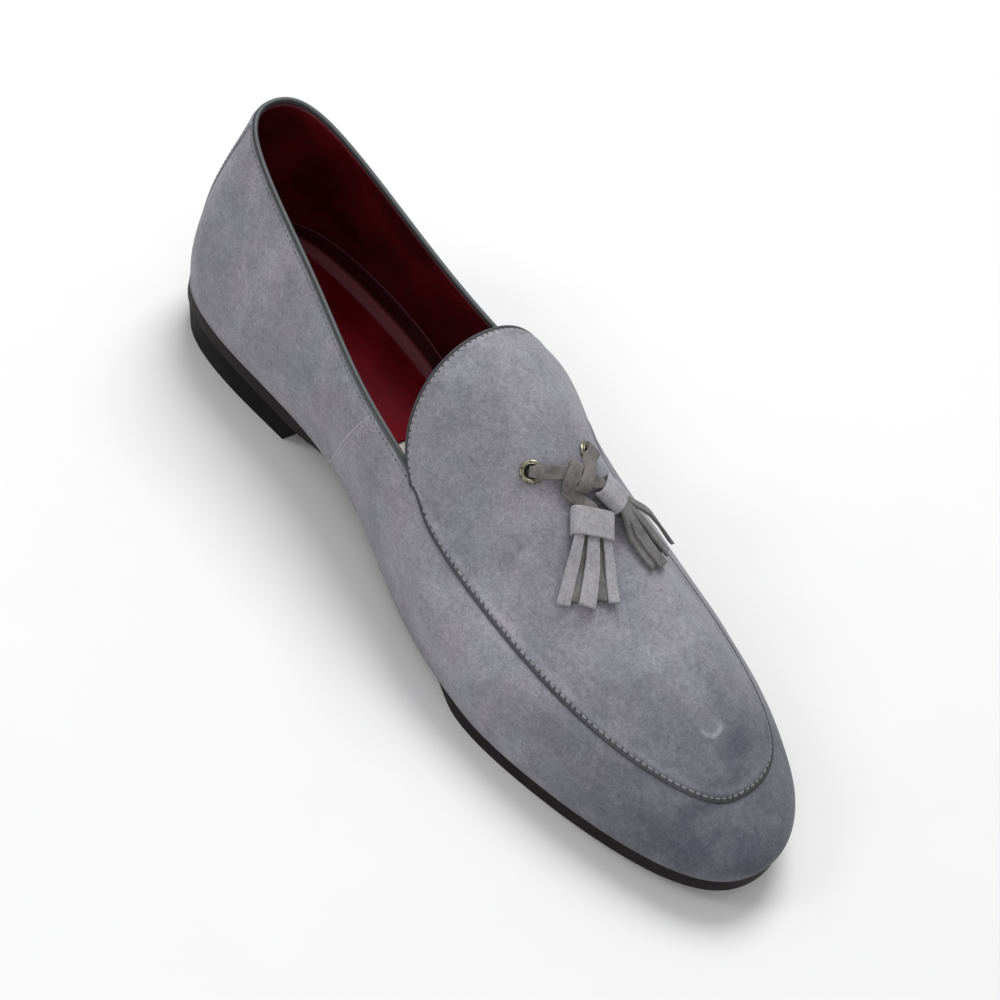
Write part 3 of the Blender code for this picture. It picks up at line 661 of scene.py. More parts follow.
def toe_group():
    """Where the toe is darker, more towards the tip and the sole, with a small patch of painted
    shade, and a pale crescent that is partly a rubbed mark and partly a painted highlight.
    """
    tree, given, out = group(
        "toe_darkening_and_highlight",
        [("Vector", "NodeSocketVector", None), ("Clouds", "NodeSocketFloat", 0.5)],
        [("Shade", "NodeSocketFloat"), ("Worn And Highlight", "NodeSocketFloat")],
    )
    at = given.outputs["Vector"]
    # A pale crescent round a small pressed mark, partly a rubbed mark and partly a painted highlight
    from_ring = calc(tree, "SUBTRACT", distance_to(tree, at, (-3.6, -112.4)), 4.2 * MM)
    ring = calc(tree, "ABSOLUTE", from_ring)
    low_part = ramp(tree, axis(tree, at, "Y"), -112.8 * MM, -115.0 * MM)
    worn_and_highlight = times(tree, ramp(tree, ring, 1.4 * MM, 0.1 * MM, 0.0, 0.34), low_part)
    join(tree, worn_and_highlight, out.inputs["Worn And Highlight"])
    # Painted shade: a small dark patch beside the crescent
    shade_patch = ramp(tree, distance_to(tree, at, (3.0, -121.0)), 8.0 * MM, 2.0 * MM, 0.0, 0.35)
    # Darker towards the tip, and more so low down near the sole
    ahead = ramp(tree, axis(tree, at, "Y"), -68 * MM, -138 * MM)
    low = ramp(tree, axis(tree, at, "Z"), 60 * MM, 15 * MM)
    cloud = ramp(tree, given.outputs["Clouds"], 0.35, 0.62, 1.0, 0.72)
    shade = times(tree, ahead, plus(tree, 0.72, times(tree, low, 0.25)))
    shade = calc(tree, "MAXIMUM", times(tree, shade, cloud), plus(tree, times(tree, shade, 0.7), shade_patch))
    join(tree, calc(tree, "SUBTRACT", shade, worn_and_highlight, clamp=True), out.inputs["Shade"])
    return tree


TOE = toe_group()
SUEDE = suede(
    "suede_grey", srgb(106, 105, 113), srgb(141, 140, 146), darken_toe=True, contrast=0.85, grain=0.22
)
EDGE_SUEDE = suede("suede_edge", srgb(120, 119, 124), srgb(140, 139, 143), cloud_scale=160.0)
TASSEL_SUEDE = suede("suede_tassel", srgb(128, 127, 131), srgb(146, 145, 149), cloud_scale=160.0)
SEAM_EDGE = suede("suede_cut_edge", srgb(140, 138, 142), srgb(162, 160, 163), cloud_scale=160.0)
# A darker copy of the tassel suede: painted shade for the outer tassel's strips and the back strips
TASSEL_SHADE = suede("suede_tassel_painted_shade", srgb(84, 83, 84), srgb(108, 107, 107), cloud_scale=160.0)
LACE_SUEDE = suede("suede_lace", srgb(82, 79, 77), srgb(111, 107, 104), cloud_scale=260.0)
print("suedes ready")


# %% Lining leather, canvas, binding, sole, heel, brass and thread
def leather(
    name, dark, light, roughness, grain_scale=900.0, coat=0.0, cloud_scale=40.0, shine=0.5, rim=False
):
    """Smooth or pebbled leather: clouds of two colours, and fine pores from a cell pattern."""
    made, tree, shader, place = material(name)
    clouds = noise(tree, place, cloud_scale, 3.0, 0.55)
    colour = blend(tree, ramp(tree, clouds, 0.35, 0.65), dark, light)
    if rim:
        # Painted highlight as a pale band along the rim, painted shade as a dark band outside it,
        # and a thin painted highlight at the very edge. UV X grows from the edge
        share = axis(tree, tree.nodes.new("ShaderNodeTexCoord").outputs["UV"], "X")
        colour = blend(tree, ramp(tree, share, 0.20, 0.14), colour, srgb(44, 6, 13))
        colour = blend(tree, near(tree, share, 0.235, 0.085), colour, srgb(112, 62, 70))
        colour = blend(tree, ramp(tree, share, 0.040, 0.012), colour, srgb(86, 46, 52))
    cells = put(tree, "ShaderNodeTexVoronoi", {"feature": "F1"}, Vector=place, Scale=grain_scale)
    wander = noise(tree, place, grain_scale * 0.5, 3.0, 0.6)
    feed(
        tree, shader, Base_Color=colour,
        Roughness=ramp(tree, clouds, 0.3, 0.7, roughness * 0.85, roughness * 1.15), Specular_IOR_Level=shine,
        Coat_Weight=coat, Coat_Roughness=0.25,
        Normal=bump(tree, plus(tree, cells.outputs["Distance"], wander), 0.35, 0.2 * MM),
    )
    return made


THREAD_SCALE = 1900.0 / 6.2832  # a wave's scale counts turns, and a thread is one of them


def canvas(name, dark, light):
    """Two sets of waves at right angles make the weave, which lies across the shoe at a slant."""
    made, tree, shader, place = material(name)
    turned = put(tree, "ShaderNodeMapping", Vector=place, Rotation=(0, 0, math.radians(45))).outputs["Vector"]
    weft, warp = [
        put(tree, "ShaderNodeTexWave", {"bands_direction": way}, Vector=turned, Scale=THREAD_SCALE)
        for way in "XY"
    ]
    weave = times(tree, weft.outputs["Fac"], warp.outputs["Fac"])
    clouds = noise(tree, place, 90.0, 3.0, 0.6)
    level = plus(tree, times(tree, weave, 0.5), times(tree, clouds, 0.5))
    feed(
        tree, shader, Base_Color=blend(tree, level, dark, light), Roughness=0.95, Specular_IOR_Level=0.1,
        Normal=bump(tree, weave, 0.4, 0.2 * MM),
    )
    return made


def metal(name, dark, light):
    made, tree, shader, place = material(name)
    wear = noise(tree, place, 700.0, 4.0, 0.6)
    feed(
        tree, shader, Base_Color=blend(tree, ramp(tree, wear, 0.35, 0.65), dark, light), Metallic=1.0,
        Roughness=ramp(tree, wear, 0.3, 0.7, 0.55, 0.32), Normal=bump(tree, wear, 0.15, 0.1 * MM),
    )
    return made


# The quarter lining is the sock's burgundy made darker, as painted shade inside the shoe
LINING = leather("lining_burgundy", srgb(58, 6, 11), srgb(86, 10, 18), 0.42, coat=0.12, shine=0.3)
# The sock's rim gets painted highlights and a painted shade band
SOCK = leather("sock_burgundy", srgb(86, 5, 17), srgb(106, 9, 23), 0.6, shine=0.06, rim=True)
TONGUE_LINING = leather("lining_tongue", srgb(66, 10, 18), srgb(88, 16, 26), 0.45)
CANVAS = canvas("lining_canvas", srgb(176, 168, 160), srgb(222, 214, 206))
# Dark piping, partly its own colour and partly painted shade of the apron's groove
EDGE_DARK = leather("piping_dark_and_shade", srgb(40, 40, 46), srgb(58, 57, 64), 0.7, grain_scale=1500.0)
SOLE = leather(
    "sole_leather", srgb(18, 14, 16), srgb(31, 25, 27), 0.6, grain_scale=700.0, coat=0.01, cloud_scale=120.0,
    shine=0.15,
)
HEEL = leather("heel_black", srgb(6, 6, 7), srgb(10, 9, 11), 0.6, grain_scale=800.0, shine=0.06)
BRASS = metal("antique_brass", srgb(80, 78, 66), srgb(150, 147, 129))
THREAD_DARK = leather("thread_dark", srgb(56, 56, 62), srgb(84, 83, 88), 0.8, grain_scale=3000.0)
THREAD_PALE = leather("thread_pale", srgb(150, 146, 150), srgb(178, 174, 176), 0.8, grain_scale=3000.0)
BEAD = leather("bead_taupe", srgb(96, 88, 88), srgb(122, 112, 111), 0.6, grain_scale=1500.0)
# Painted shade for the eyelets' holes
HOLE_SHADE = leather("hole_painted_shade", srgb(16, 14, 14), srgb(26, 23, 22), 0.9, grain_scale=3000.0)
print("materials", len(bpy.data.materials))

# %% [markdown]
# ## Camera, floor and light
# The picture is taken from above the toe, on the inner side of the shoe, with the camera
# rolled so that the toe points down to the right. The camera's place was worked out from the
# shoe's outline, and here it is turned and zoomed to hold the one shoe. The floor is plain and
# pale. A broad soft light hangs high behind the shoe, a weak one fills from the front, and a
# small one shines in low from the inner side.

# %% Camera
EYE = (-0.40127, -0.31710, 0.54010)
TURN = (43.37980, -13.58300, -38.28969)  # degrees
LENS = 79.0  # millimetres, on a sensor 36 wide
camera_data = bpy.data.cameras.new("camera")
camera = bpy.data.objects.new("camera", camera_data)
bpy.context.scene.collection.objects.link(camera)
bpy.context.scene.camera = camera
camera.location = EYE
camera.rotation_euler = [math.radians(a) for a in TURN]
camera_data.sensor_width = 36
camera_data.lens = LENS
camera_data.clip_start = 0.01
print("camera at", tuple(round(v, 3) for v in camera.location))


# %% Floor
def primitive(add, **sizes):
    """A new primitive, added with nothing else selected."""
    bpy.ops.object.select_all(action="DESELECT")
    add(**sizes)
    return bpy.context.object


floor = primitive(bpy.ops.mesh.primitive_plane_add, size=6.0, location=(0, 0, 0))
floor.name = "floor"
floor_look, floor_tree, floor_shader, floor_place = material("floor_pale")
clouds = noise(floor_tree, floor_place, 30.0, 3.0)
floor_colour = blend(floor_tree, clouds, (0.65, 0.65, 0.655, 1), (0.67, 0.67, 0.675, 1))
feed(floor_tree, floor_shader, Base_Color=floor_colour, Roughness=0.8)
floor.data.materials.append(floor_look)
floor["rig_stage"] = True
print("floor ready")


# %% Lights
def soft_light(name, place, aim, size, power):
    data = bpy.data.lights.new(name, "AREA")
    data.shape = "DISK"
    data.size = size
    data.energy = power
    lamp = bpy.data.objects.new(name, data)
    bpy.context.scene.collection.objects.link(lamp)
    lamp.location = place
    lamp.rotation_euler = (Vector(aim) - Vector(place)).to_track_quat("-Z", "Y").to_euler()


soft_light("key", (0.55, 0.55, 1.35), (0, 0, 0.03), 0.9, 21)
soft_light("fill", (-0.9, -0.8, 0.9), (0, 0, 0.03), 1.2, 5.5)
soft_light("side", (-0.8, 0.40, 0.75), (0, 0.06, 0.02), 0.3, 2.2)
world = bpy.data.worlds.new("studio")
world.use_nodes = True
feed(world.node_tree, world.node_tree.nodes["Background"], Color=(1, 1, 1, 1), Strength=0.55)
bpy.context.scene.world = world
bpy.context.scene.view_settings.view_transform = "Standard"

# %% [markdown]
# ## The upper's wall
# Vamp and quarters make one wall round the foot. The vamp is laid over the quarters at a
# slanting seam on each side, so the wall gets a step of half a millimetre there. A few broad
# waves of a fraction of a millimetre take the stiffness out of the surface, as lasting does.


# %% Wall with the side seams' step and soft waves
def waves(points):
    """Small broad waves over the whole surface, in metres."""
    p = points / MM
    wave = lambda x, y, z, shift: np.sin(p @ np.array([x, y, z]) + shift)
    a = wave(0.11, 0.07, 0.05, 0.6) * wave(-0.04, 0.10, 0.09, 1.9)
    b = wave(0.19, -0.13, 0.12, 2.2) * wave(0.08, 0.21, -0.10, 0.4)
    return (0.16 * a + 0.07 * b) * MM


def grid_normals(grid, close_rows=False):
    return unit(np.cross(ahead_along(grid, close_rows), np.gradient(grid, axis=1)))


SEAM_TOP, SEAM_FOOT = 3.20, 2.78  # where the side seam crosses the top edge and the foot edge
LAP_STEP = 0.45 * MM


def seam_u(t):
    return SEAM_FOOT + (SEAM_TOP - SEAM_FOOT) * np.asarray(t) ** 0.8


def lap(u, t):
    """1 on the vamp and 0 on the quarters, with the step between them."""
    from_back = np.minimum(u, ROUND - u)
    return smooth_step((from_back - seam_u(t)) / 0.012 + 0.5)


def wall_rise(points, u, t):
    """How far the finished wall stands over the plain one."""
    fade = np.sin(np.pi * np.clip(t, 0, 1)) ** 0.5
    return waves(points) * fade + LAP_STEP * lap(u, t) * smooth_step((1 - t) / 0.04)


WALL_PER, APRON_PER = 26, 32  # rows of the grid from one section of the last to the next
SUEDE_THICKNESS, APRON_THICKNESS = 0.9 * MM, 1.3 * MM
near_seam = np.arange(2.42, 3.30, 0.007)  # closer together where the step is
u_line = np.arange(ROUND * WALL_PER) / WALL_PER
u_wall = np.unique(np.concatenate([u_line, near_seam, ROUND - near_seam]))
t_wall = np.linspace(0, 1, 41)
wall_grid = wall(u_wall, t_wall)
wall_out = grid_normals(wall_grid, True)
wall_out *= np.sign((wall_out[..., :2] * (wall_grid[..., :2] - np.array([0, -0.02]))).sum())
wall_grid = wall_grid + wall_out * wall_rise(wall_grid, u_wall[:, None], t_wall[None])[..., None]
# The vamp runs on under the apron, and the quarters turn in over the wall
from_back = np.minimum(u_wall, ROUND - u_wall)
under_apron = smooth_step((from_back - JOINT + 0.1) / 0.2)[:, None]
tuck = climb(u_wall) * under_apron * 3.0 * MM + inward(u_wall) * (1 - under_apron) * 1.2 * MM
tucked = np.stack([wall_grid[:, -1] + tuck * share for share in (0.35, 0.7, 1.0)], axis=1)
wall_grid = np.concatenate([wall_grid, tucked], axis=1)
wall_piece = sheet("upper_wall", wall_grid, SUEDE, "suede", SUEDE_THICKNESS, (0, 0, 0.02), close_rows=True)
sweep(
    "feather_edge", foot_edge(u_line, 0.05 * MM, GAP + 0.2 * MM), np.tile([0.0, 0.0, 1.0], (len(u_line), 1)),
    round_profile(0.36 * MM, 8), EDGE_SUEDE, "suede", closed=True,
)
print("upper_wall", len(wall_piece.data.polygons), "faces")

# %% [markdown]
# ## The apron with its tongue
# The apron is a second sheet, laid on the vamp. It stands 0.7 mm above it, and its
# edge is rolled and sewn, which leaves a small lip all round with a dent inside it. Most
# columns of the grid lie near the edge, because that is where the form changes.

# %% Apron
edge_steps = np.array([0, 0.4, 0.8, 1.2, 1.7, 2.3, 3.0, 3.9, 5.0]) * MM
rows = np.concatenate([
    JOINT + np.array([0, 0.008, 0.016, 0.026, 0.038, 0.052, 0.07, 0.095, 0.125]),
    np.arange(JOINT * APRON_PER + 5, TIP * APRON_PER + 1) / APRON_PER,
])


def apron_side(which):
    """Half the apron, with columns at fixed steps from the seam and then evenly to the ridge."""
    span = rib_span(apron_rib(which, rows, np.linspace(0, 1, 33)))
    near = edge_steps[None, :] / span[:, None]
    rest = near[:, -1:] + (1 - near[:, -1:]) * np.linspace(0, 1, 27)[None, 1:]
    t = np.concatenate([near, rest], axis=1)
    points = np.concatenate([apron_rib(which, rows[k : k + 1], t[k : k + 1]) for k in range(len(rows))])
    return points, t * span[:, None]


outer_half, outer_in = apron_side(1)
inner_half, inner_in = apron_side(-1)
apron_grid = np.concatenate([outer_half, inner_half[:, -2::-1]], axis=1)
from_seam = np.concatenate([outer_in, inner_in[:, -2::-1]], axis=1)
from_tongue_edge = np.stack([run_along(column) for column in apron_grid.transpose(1, 0, 2)], axis=1)
apron_out = grid_normals(apron_grid)
apron_out *= np.sign(apron_out[10, 30, 2])
from_edge = np.minimum(from_seam, from_tongue_edge) / MM
lip = 0.26 * bell(from_edge, 1.1, 0.7) - 0.20 * bell(from_edge, 3.2, 1.1)
inside = smooth_step(from_edge / 8)
rise = lip * MM + waves(apron_grid * 1.3) * 0.8 * inside
rise += 0.35 * MM * bell(apron_grid[..., 1], -0.1155, 0.006) * bell(apron_grid[..., 0], -0.001, 0.009)
apron_grid = apron_grid + apron_out * rise[..., None]
apron = sheet("apron", apron_grid, SUEDE, "suede", APRON_THICKNESS, (0, -0.03, 0.0))
print("apron", len(apron.data.polygons), "faces")

# %% A tree of the apron's surface, for what lies on it
APRON_TREE = BVHTree.FromPolygons(
    [tuple(p) for p in apron_grid.reshape(-1, 3)], grid_faces(*apron_grid.shape[:2])
)


def on_apron(x, y):
    """The apron's point over a place on the floor, and the way that it faces."""
    point, facing, _, _ = APRON_TREE.ray_cast(Vector((x, y, 1.0)), Vector((0, 0, -1)))
    if facing.z < 0:
        facing = -facing
    return np.array(point), np.array(facing)


print("instep at", np.round(on_apron(0, -0.03)[0] / MM, 1))

# %% [markdown]
# ## The apron's sewn edge
# Round the apron and the tongue runs one line: a dark piping in the groove, the suede's own
# edge rolled over it, and short slanting stitches that pull the roll in. The piping is made as
# wide as the dark line in the groove, so its dark colour is partly painted shade of the groove.
# The line is read from the border of the apron's grid, so it follows the apron wherever that
# goes.

# %% Border of the apron
# From the tip along the outer side, across the tongue, and back along the inner side
last = apron_grid.shape[1] - 1
border_row = np.concatenate(
    [np.arange(len(rows) - 1, 0, -1), np.zeros(last + 1, int), np.arange(1, len(rows) - 1)]
)
border_column = np.repeat([0, last], [len(rows) - 1, len(rows) - 2])
border_column = np.insert(border_column, len(rows) - 1, np.arange(last + 1))


def border_of(grid, inset=0):
    """Values once round the apron, at its edge or some columns and rows inside it."""
    row = np.where(border_row == 0, inset, border_row)
    return grid[row, np.clip(border_column, inset, last - inset)]


border = border_of(apron_grid)
edge, edge_run, edge_away, edge_up = resample(
    border, step=0.4 * MM, closed=True, others=[border - border_of(apron_grid, 2), border_of(apron_out, 1)]
)


def soften(values, times):
    for _ in range(times):
        values = (np.roll(values, 1, axis=0) + values * 2 + np.roll(values, -1, axis=0)) / 4
    return values


edge = soften(edge, 3)
edge_up = unit(soften(unit(edge_up), 12))
edge_away = unit(soften(unit(edge_away), 12))
edge_away = unit(edge_away - edge_up * (edge_away * edge_up).sum(axis=1, keepdims=True))
print("the border is", round(edge_run[-1] / MM), "mm round")

# %% Piping, rolled edge and stitches
STITCH = 2.3 * MM
count = int(round(edge_run[-1] / STITCH))
phase = edge_run / edge_run[-1] * count
# The piping is as wide as the dark line in the groove: partly the piping's own colour, partly painted shade
piping = sweep(
    "apron_piping", edge + edge_away * 0.85 * MM - edge_up * 0.42 * MM, edge_up, round_profile(0.62 * MM, 12),
    EDGE_DARK, "binding", closed=True,
)
swell = 0.80 + 0.24 * np.abs(np.cos(np.pi * phase))[:, None] ** 0.6
sweep(
    "apron_edge", edge - edge_away * 0.15 * MM - edge_up * 0.42 * MM, edge_up, round_profile(0.5 * MM, 10),
    EDGE_SUEDE, "suede", closed=True, scale=np.repeat(swell, 2, axis=1),
)


# %% Lining edge that shows along the tongue
tongue_line = apron_grid[0] + unit(apron_grid[0] - apron_grid[3]) * 1.55 * MM - apron_out[1] * 1.05 * MM
tongue_line, _, tongue_up = resample(tongue_line[2:-2], step=0.6 * MM, others=[apron_out[1][2:-2]])
sweep("tongue_bead", tongue_line, tongue_up, round_profile(0.42 * MM, 10), BEAD, "binding")


# %% Stitches
def bead(length, width, height):
    """One stitch as points and faces, from a primitive ball."""
    ball = primitive(bpy.ops.mesh.primitive_uv_sphere_add, segments=8, ring_count=5, radius=0.5)
    points = np.array([v.co for v in ball.data.vertices]) * [length, width, height]
    faces = [tuple(face.vertices) for face in ball.data.polygons]
    mesh = ball.data
    bpy.data.objects.remove(ball)
    bpy.data.meshes.remove(mesh)
    return points, faces


def stitches(name, places, ahead, ups, size, look, slot, uneven=0.0):
    """Copies of one stitch, each lying along its own direction."""
    points, faces = bead(*size)
    chance = np.random.default_rng(7)
    ahead = unit(ahead)
    across = unit(np.cross(ups, ahead))
    up = unit(np.cross(ahead, across))
    all_points, all_faces = [], []
    for place, x, y, z in zip(places, ahead, across, up):
        start = len(all_points) * len(points)
        longer, wider, aside = 1 + uneven * chance.uniform(-1, 1, 3)
        place = place + y * (aside - 1) * size[0] * 0.6
        along, over = points[:, :1] * x * longer, points[:, 1:2] * y * wider
        all_points.append(place + along + over + points[:, 2:] * z)
        all_faces += [tuple(i + start for i in face) for face in faces]
    return new_piece(name, np.concatenate(all_points), all_faces, look, slot)


knots = (np.arange(count) + 0.5) / count * edge_run[-1]
here, away, up_here = [read_at(knots, edge_run, value) for value in (edge, edge_away, edge_up)]
forward = read_at(knots, edge_run, np.roll(edge, -1, axis=0) - edge)
# On the outer side the stitches are pulled down into the groove
tongue_end = smooth_step((here[:, 1:2] / MM - 4) / 6)
beside = here[:, :1] / MM
sunk = smooth_step((beside - 10) / 8) * (1 - tongue_end) + smooth_step((beside - 22) / 6) * tongue_end
stitches(
    "apron_stitches",
    here + away * (-0.12 + 0.25 * sunk) * MM - up_here * (0.02 + 0.36 * sunk) * MM,
    away + unit(forward) * 0.5 - up_here * (0.25 + 0.5 * sunk), up_here,
    (1.5 * MM, 0.74 * MM, 0.56 * MM), THREAD_DARK, "binding", uneven=0.3,
)
print("stitches", count)

# %% [markdown]
# ## Collar, side seams and back strap
# The collar is finished with a folded binding: a soft grey roll between two dark lines. A
# profile with two grooves, swept along the top edge, gives both. Its stitches lie just under
# it. The side seam has two rows of stitches, and the strap over the back seam one along each
# edge. Rows of stitches are placed by their distance from an edge, measured on the surface.


# %% Collar roll
def wall_frame(u, t):
    """Points of the finished wall and the way it faces there."""
    u, t = np.asarray(u, float), np.asarray(t, float)
    at = lambda u, t: wall(u % ROUND, np.clip(t[:, None], 0, 1))[:, 0]
    here, along = at(u, t), at(u + 0.004, t) - at(u - 0.004, t)
    out = unit(np.cross(along, at(u, t + 0.01) - at(u, t - 0.01)))
    out *= np.sign((out * -inward(u % ROUND)).sum(axis=1, keepdims=True))
    return here + out * wall_rise(here, u % ROUND, t)[:, None], out


steps = np.linspace(-JOINT + 0.02, JOINT - 0.02, 700)
collar_u = steps % ROUND
line = TOP.at(collar_u) + inward(collar_u) * 0.80 * MM + climb(collar_u) * 0.75 * MM
route, collar_run, collar_up = resample(line, step=0.8 * MM, others=[climb(collar_u)])
angles = around(28)
radius = 1.0 - 0.30 * bell(np.degrees(angles), 155, 13) - 0.30 * bell(np.degrees(angles), 25, 13)
collar_profile = np.stack([np.cos(angles) * radius, np.sin(angles) * radius * 1.05], axis=1) * MM


def collar_look():
    made, tree, shader, place = material("collar_binding")
    nap = use(tree, NAP, Vector=place, Cloud_Scale=160.0, Fibre_Scale=1800.0)
    turn = axis(tree, tree.nodes.new("ShaderNodeTexCoord").outputs["UV"], "Y")
    groove = calc(tree, "MAXIMUM", near(tree, turn, 0.05, 0.06), near(tree, turn, 0.45, 0.06))
    colour = blend(tree, nap.outputs["Clouds"], srgb(52, 55, 58), srgb(82, 86, 89))
    feed(
        tree, shader, Base_Color=blend(tree, groove, colour, srgb(26, 27, 31)),
        Roughness=ramp(tree, nap.outputs["Fibres"], 0.3, 0.7, 0.7, 0.5),
        Normal=bump(tree, nap.outputs["Height"], 0.3, 0.2 * MM),
    )
    return made


COLLAR = collar_look()
collar = sweep("collar_roll", route, collar_up, collar_profile, COLLAR, "binding")
print("collar roll", round(collar_run[-1] / MM), "mm")


# %% Rows of stitches on the wall
def row_along(name, line, out, pitch, size, look, slot, raised, reach):
    """Stitches along a line, which turn with the line over some reach."""
    line, run, out = resample(line, step=0.5 * MM, others=[out])
    number = max(2, int(round(run[-1] / pitch)))
    at = (np.arange(number) + 0.5) / number * run[-1]
    facing = read_at(at, run, out)
    ahead = read_at(at + reach, run, line) - read_at(at - reach, run, line)
    stitches(name, read_at(at, run, line) + unit(facing) * raised, ahead, facing, size, look, slot)


def rib_length(u):
    return rib_span(wall(u % ROUND, np.linspace(0, 1, 21)))


# A stitch's length, width and height
FINE_STITCH, SEAM_STITCH = (1.5 * MM, 0.36 * MM, 0.32 * MM), (1.25 * MM, 0.42 * MM, 0.36 * MM)
FINE_PITCH, SEAM_PITCH = 2.1 * MM, 1.9 * MM
SECTION = 34.0  # one section of the last is about so many millimetres long at the side seam
u = np.linspace(-3.85, 3.85, 500)
row_along(
    "collar_stitches", *wall_frame(u, 1 - 0.9 * MM / rib_length(u)), FINE_PITCH, FINE_STITCH, THREAD_DARK,
    "binding", 0.0, 0.3 * FINE_PITCH,
)
for label, sign in (("outer", 1), ("inner", -1)):
    for number, distance in ((1, 1.3), (2, 3.3)):
        t = np.linspace(0.02, 0.95, 60)
        row_along(
            f"side_seam_{label}_{number}", *wall_frame(sign * (seam_u(t) + distance / SECTION), t),
            SEAM_PITCH, SEAM_STITCH, THREAD_PALE, "suede", 0.05 * MM, 0.3 * SEAM_PITCH,
        )
    # The vamp's cut edge is paler than its face
    t = np.linspace(0.01, 0.97, 70)
    places, out = wall_frame(sign * seam_u(t), t)
    sunk = places - out * 0.1 * MM
    sweep(f"side_seam_edge_{label}", sunk, out, round_profile(0.34 * MM, 8), SEAM_EDGE, "suede")
print("rows of stitches", sum("_stitches" in piece.name or "_seam_" in piece.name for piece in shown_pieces()))

# %% Back strap
STRAP_TOP_WIDTH, STRAP_FOOT_WIDTH = 27 * MM, 38 * MM
levels = np.linspace(0.0, 0.985, 40)
u = np.linspace(-1.5, 1.5, 121)
strap_edge = np.array([0, 0.4, 0.9, 1.6, 2.6]) * MM
strap_grid, strap_facing = [], []
for level in levels:
    half = (STRAP_FOOT_WIDTH + (STRAP_TOP_WIDTH - STRAP_FOOT_WIDTH) * level) / 2
    base, facing = wall_frame(u, np.full(len(u), level))
    run = run_along(base)
    run -= np.interp(0, u, run)
    between = np.linspace(-half + 4 * MM, half - 4 * MM, 21)
    wanted = np.concatenate([-half + strap_edge, between, half - strap_edge[::-1]])
    strap_facing.append(read_at(wanted, run, facing))
    strap_grid.append(read_at(wanted, run, base) + strap_facing[-1] * 0.75 * MM)
strap_grid, strap_facing = np.array(strap_grid), np.array(strap_facing)
strap = sheet(
    "back_strap_suede", strap_grid, SUEDE, "suede", SUEDE_THICKNESS, (0, 0.05, 0.04), bevel=0.25 * MM
)
for label, column in (("outer", -3), ("inner", 2)):
    row_along(
        f"strap_stitches_{label}", strap_grid[:, column], unit(strap_facing[:, column]), FINE_PITCH,
        FINE_STITCH, THREAD_DARK, "binding", 0.0, MM,
    )
print("strap", len(strap.data.polygons), "faces")

# %% [markdown]
# ## Linings and sock
# Inside, the quarters and the tongue are lined with smooth burgundy leather, and the vamp
# with undyed canvas. A half sock of the same burgundy covers the heel end of the canvas
# insole. It is padded, so it dishes in the middle and rolls up towards the wall. The
# quarter lining is coloured darker than the sock, as painted shade inside the shoe, and the
# sock's rim has painted highlights and a painted shade band.


# %% Linings
LINING_INSET, LINING_THICKNESS = 1.75 * MM, 0.5 * MM


def lining(name, u, look):
    grid = wall(u % ROUND, np.linspace(0, 1, 31))
    out = grid_normals(grid)
    out *= np.sign((out * -inward(u % ROUND)[:, None]).sum())
    return sheet(name, grid - out * LINING_INSET, look, "lining", LINING_THICKNESS, (0, 0, 0.02), offset=1.0)


lining("quarter_lining", np.linspace(-3.97, 3.97, 260), LINING)
lining("vamp_lining", np.linspace(3.9, ROUND - 3.9, 300), CANVAS)
under = apron_rib(1, rows, np.linspace(0, 1, 20))
under = np.concatenate([under, apron_rib(-1, rows, np.linspace(0, 1, 20))[:, -2::-1]], axis=1)
under_out = grid_normals(under)
under_out *= np.sign(under_out[10, 15, 2])
under = under - under_out * LINING_INSET
sheet("tongue_lining", under, TONGUE_LINING, "lining", LINING_THICKNESS, (0, -0.03, 0.0), offset=1.0)
print("linings ready")


# %% Sheets and slabs inside the foot edge
def sheet_rows(u, outset, height, columns, inner_outset=None):
    """Rows from the inner to the outer foot edge. height takes the place along the shoe, and how
    far in a point is, from 0 at an edge to 1 in the middle."""
    outer = foot_edge(u, outset)
    inner = foot_edge(ROUND - u, outset if inner_outset is None else inner_outset)
    share = np.linspace(0, 1, columns)[None, :, None]
    flat = inner[:, None, :2] + (outer - inner)[:, None, :2] * share
    along = place_along(flat[..., 1])
    return np.concatenate([flat, height(along, 1 - np.abs(2 * share[..., 0] - 1))[..., None]], axis=2)


def rear_part(front, round_back, onwards):
    """Places on the foot edge from the back to a front, closer together round the back."""
    u = np.linspace(0, JOINT, 300)
    reach = float(np.interp(front, place_along(FOOT.at(u)[:, 1]), u))
    return np.unique(np.concatenate([np.linspace(0, 0.3, round_back), np.linspace(0.3, reach, onwards)]))


def slab(name, top, bottom, look, slot, bevel, uv=None):
    """A closed solid between two sheets that have the same rows and columns."""
    rows, columns = top.shape[:2]
    count = rows * columns
    faces = grid_faces(rows, columns)
    faces += [tuple(i + count for i in face)[::-1] for face in faces]
    rim = [(i, 0) for i in range(rows)] + [(rows - 1, j) for j in range(1, columns)]
    rim += [(i, columns - 1) for i in range(rows - 2, -1, -1)] + [(0, j) for j in range(columns - 2, 0, -1)]
    ring = [i * columns + j for i, j in rim]
    for a, b in zip(ring, ring[1:] + ring[:1]):
        faces.append((a, b, b + count, a + count))
    points = np.concatenate([top.reshape(-1, 3), bottom.reshape(-1, 3)])
    piece = new_piece(name, points, faces, look, slot, uv)
    clean(piece, 0.02 * MM)
    bevel_edges(piece, bevel, 45)
    apply_all(piece)
    select_only(piece)
    bpy.ops.object.shade_smooth_by_angle(angle=math.radians(35))
    return piece


print("slabs can be made")

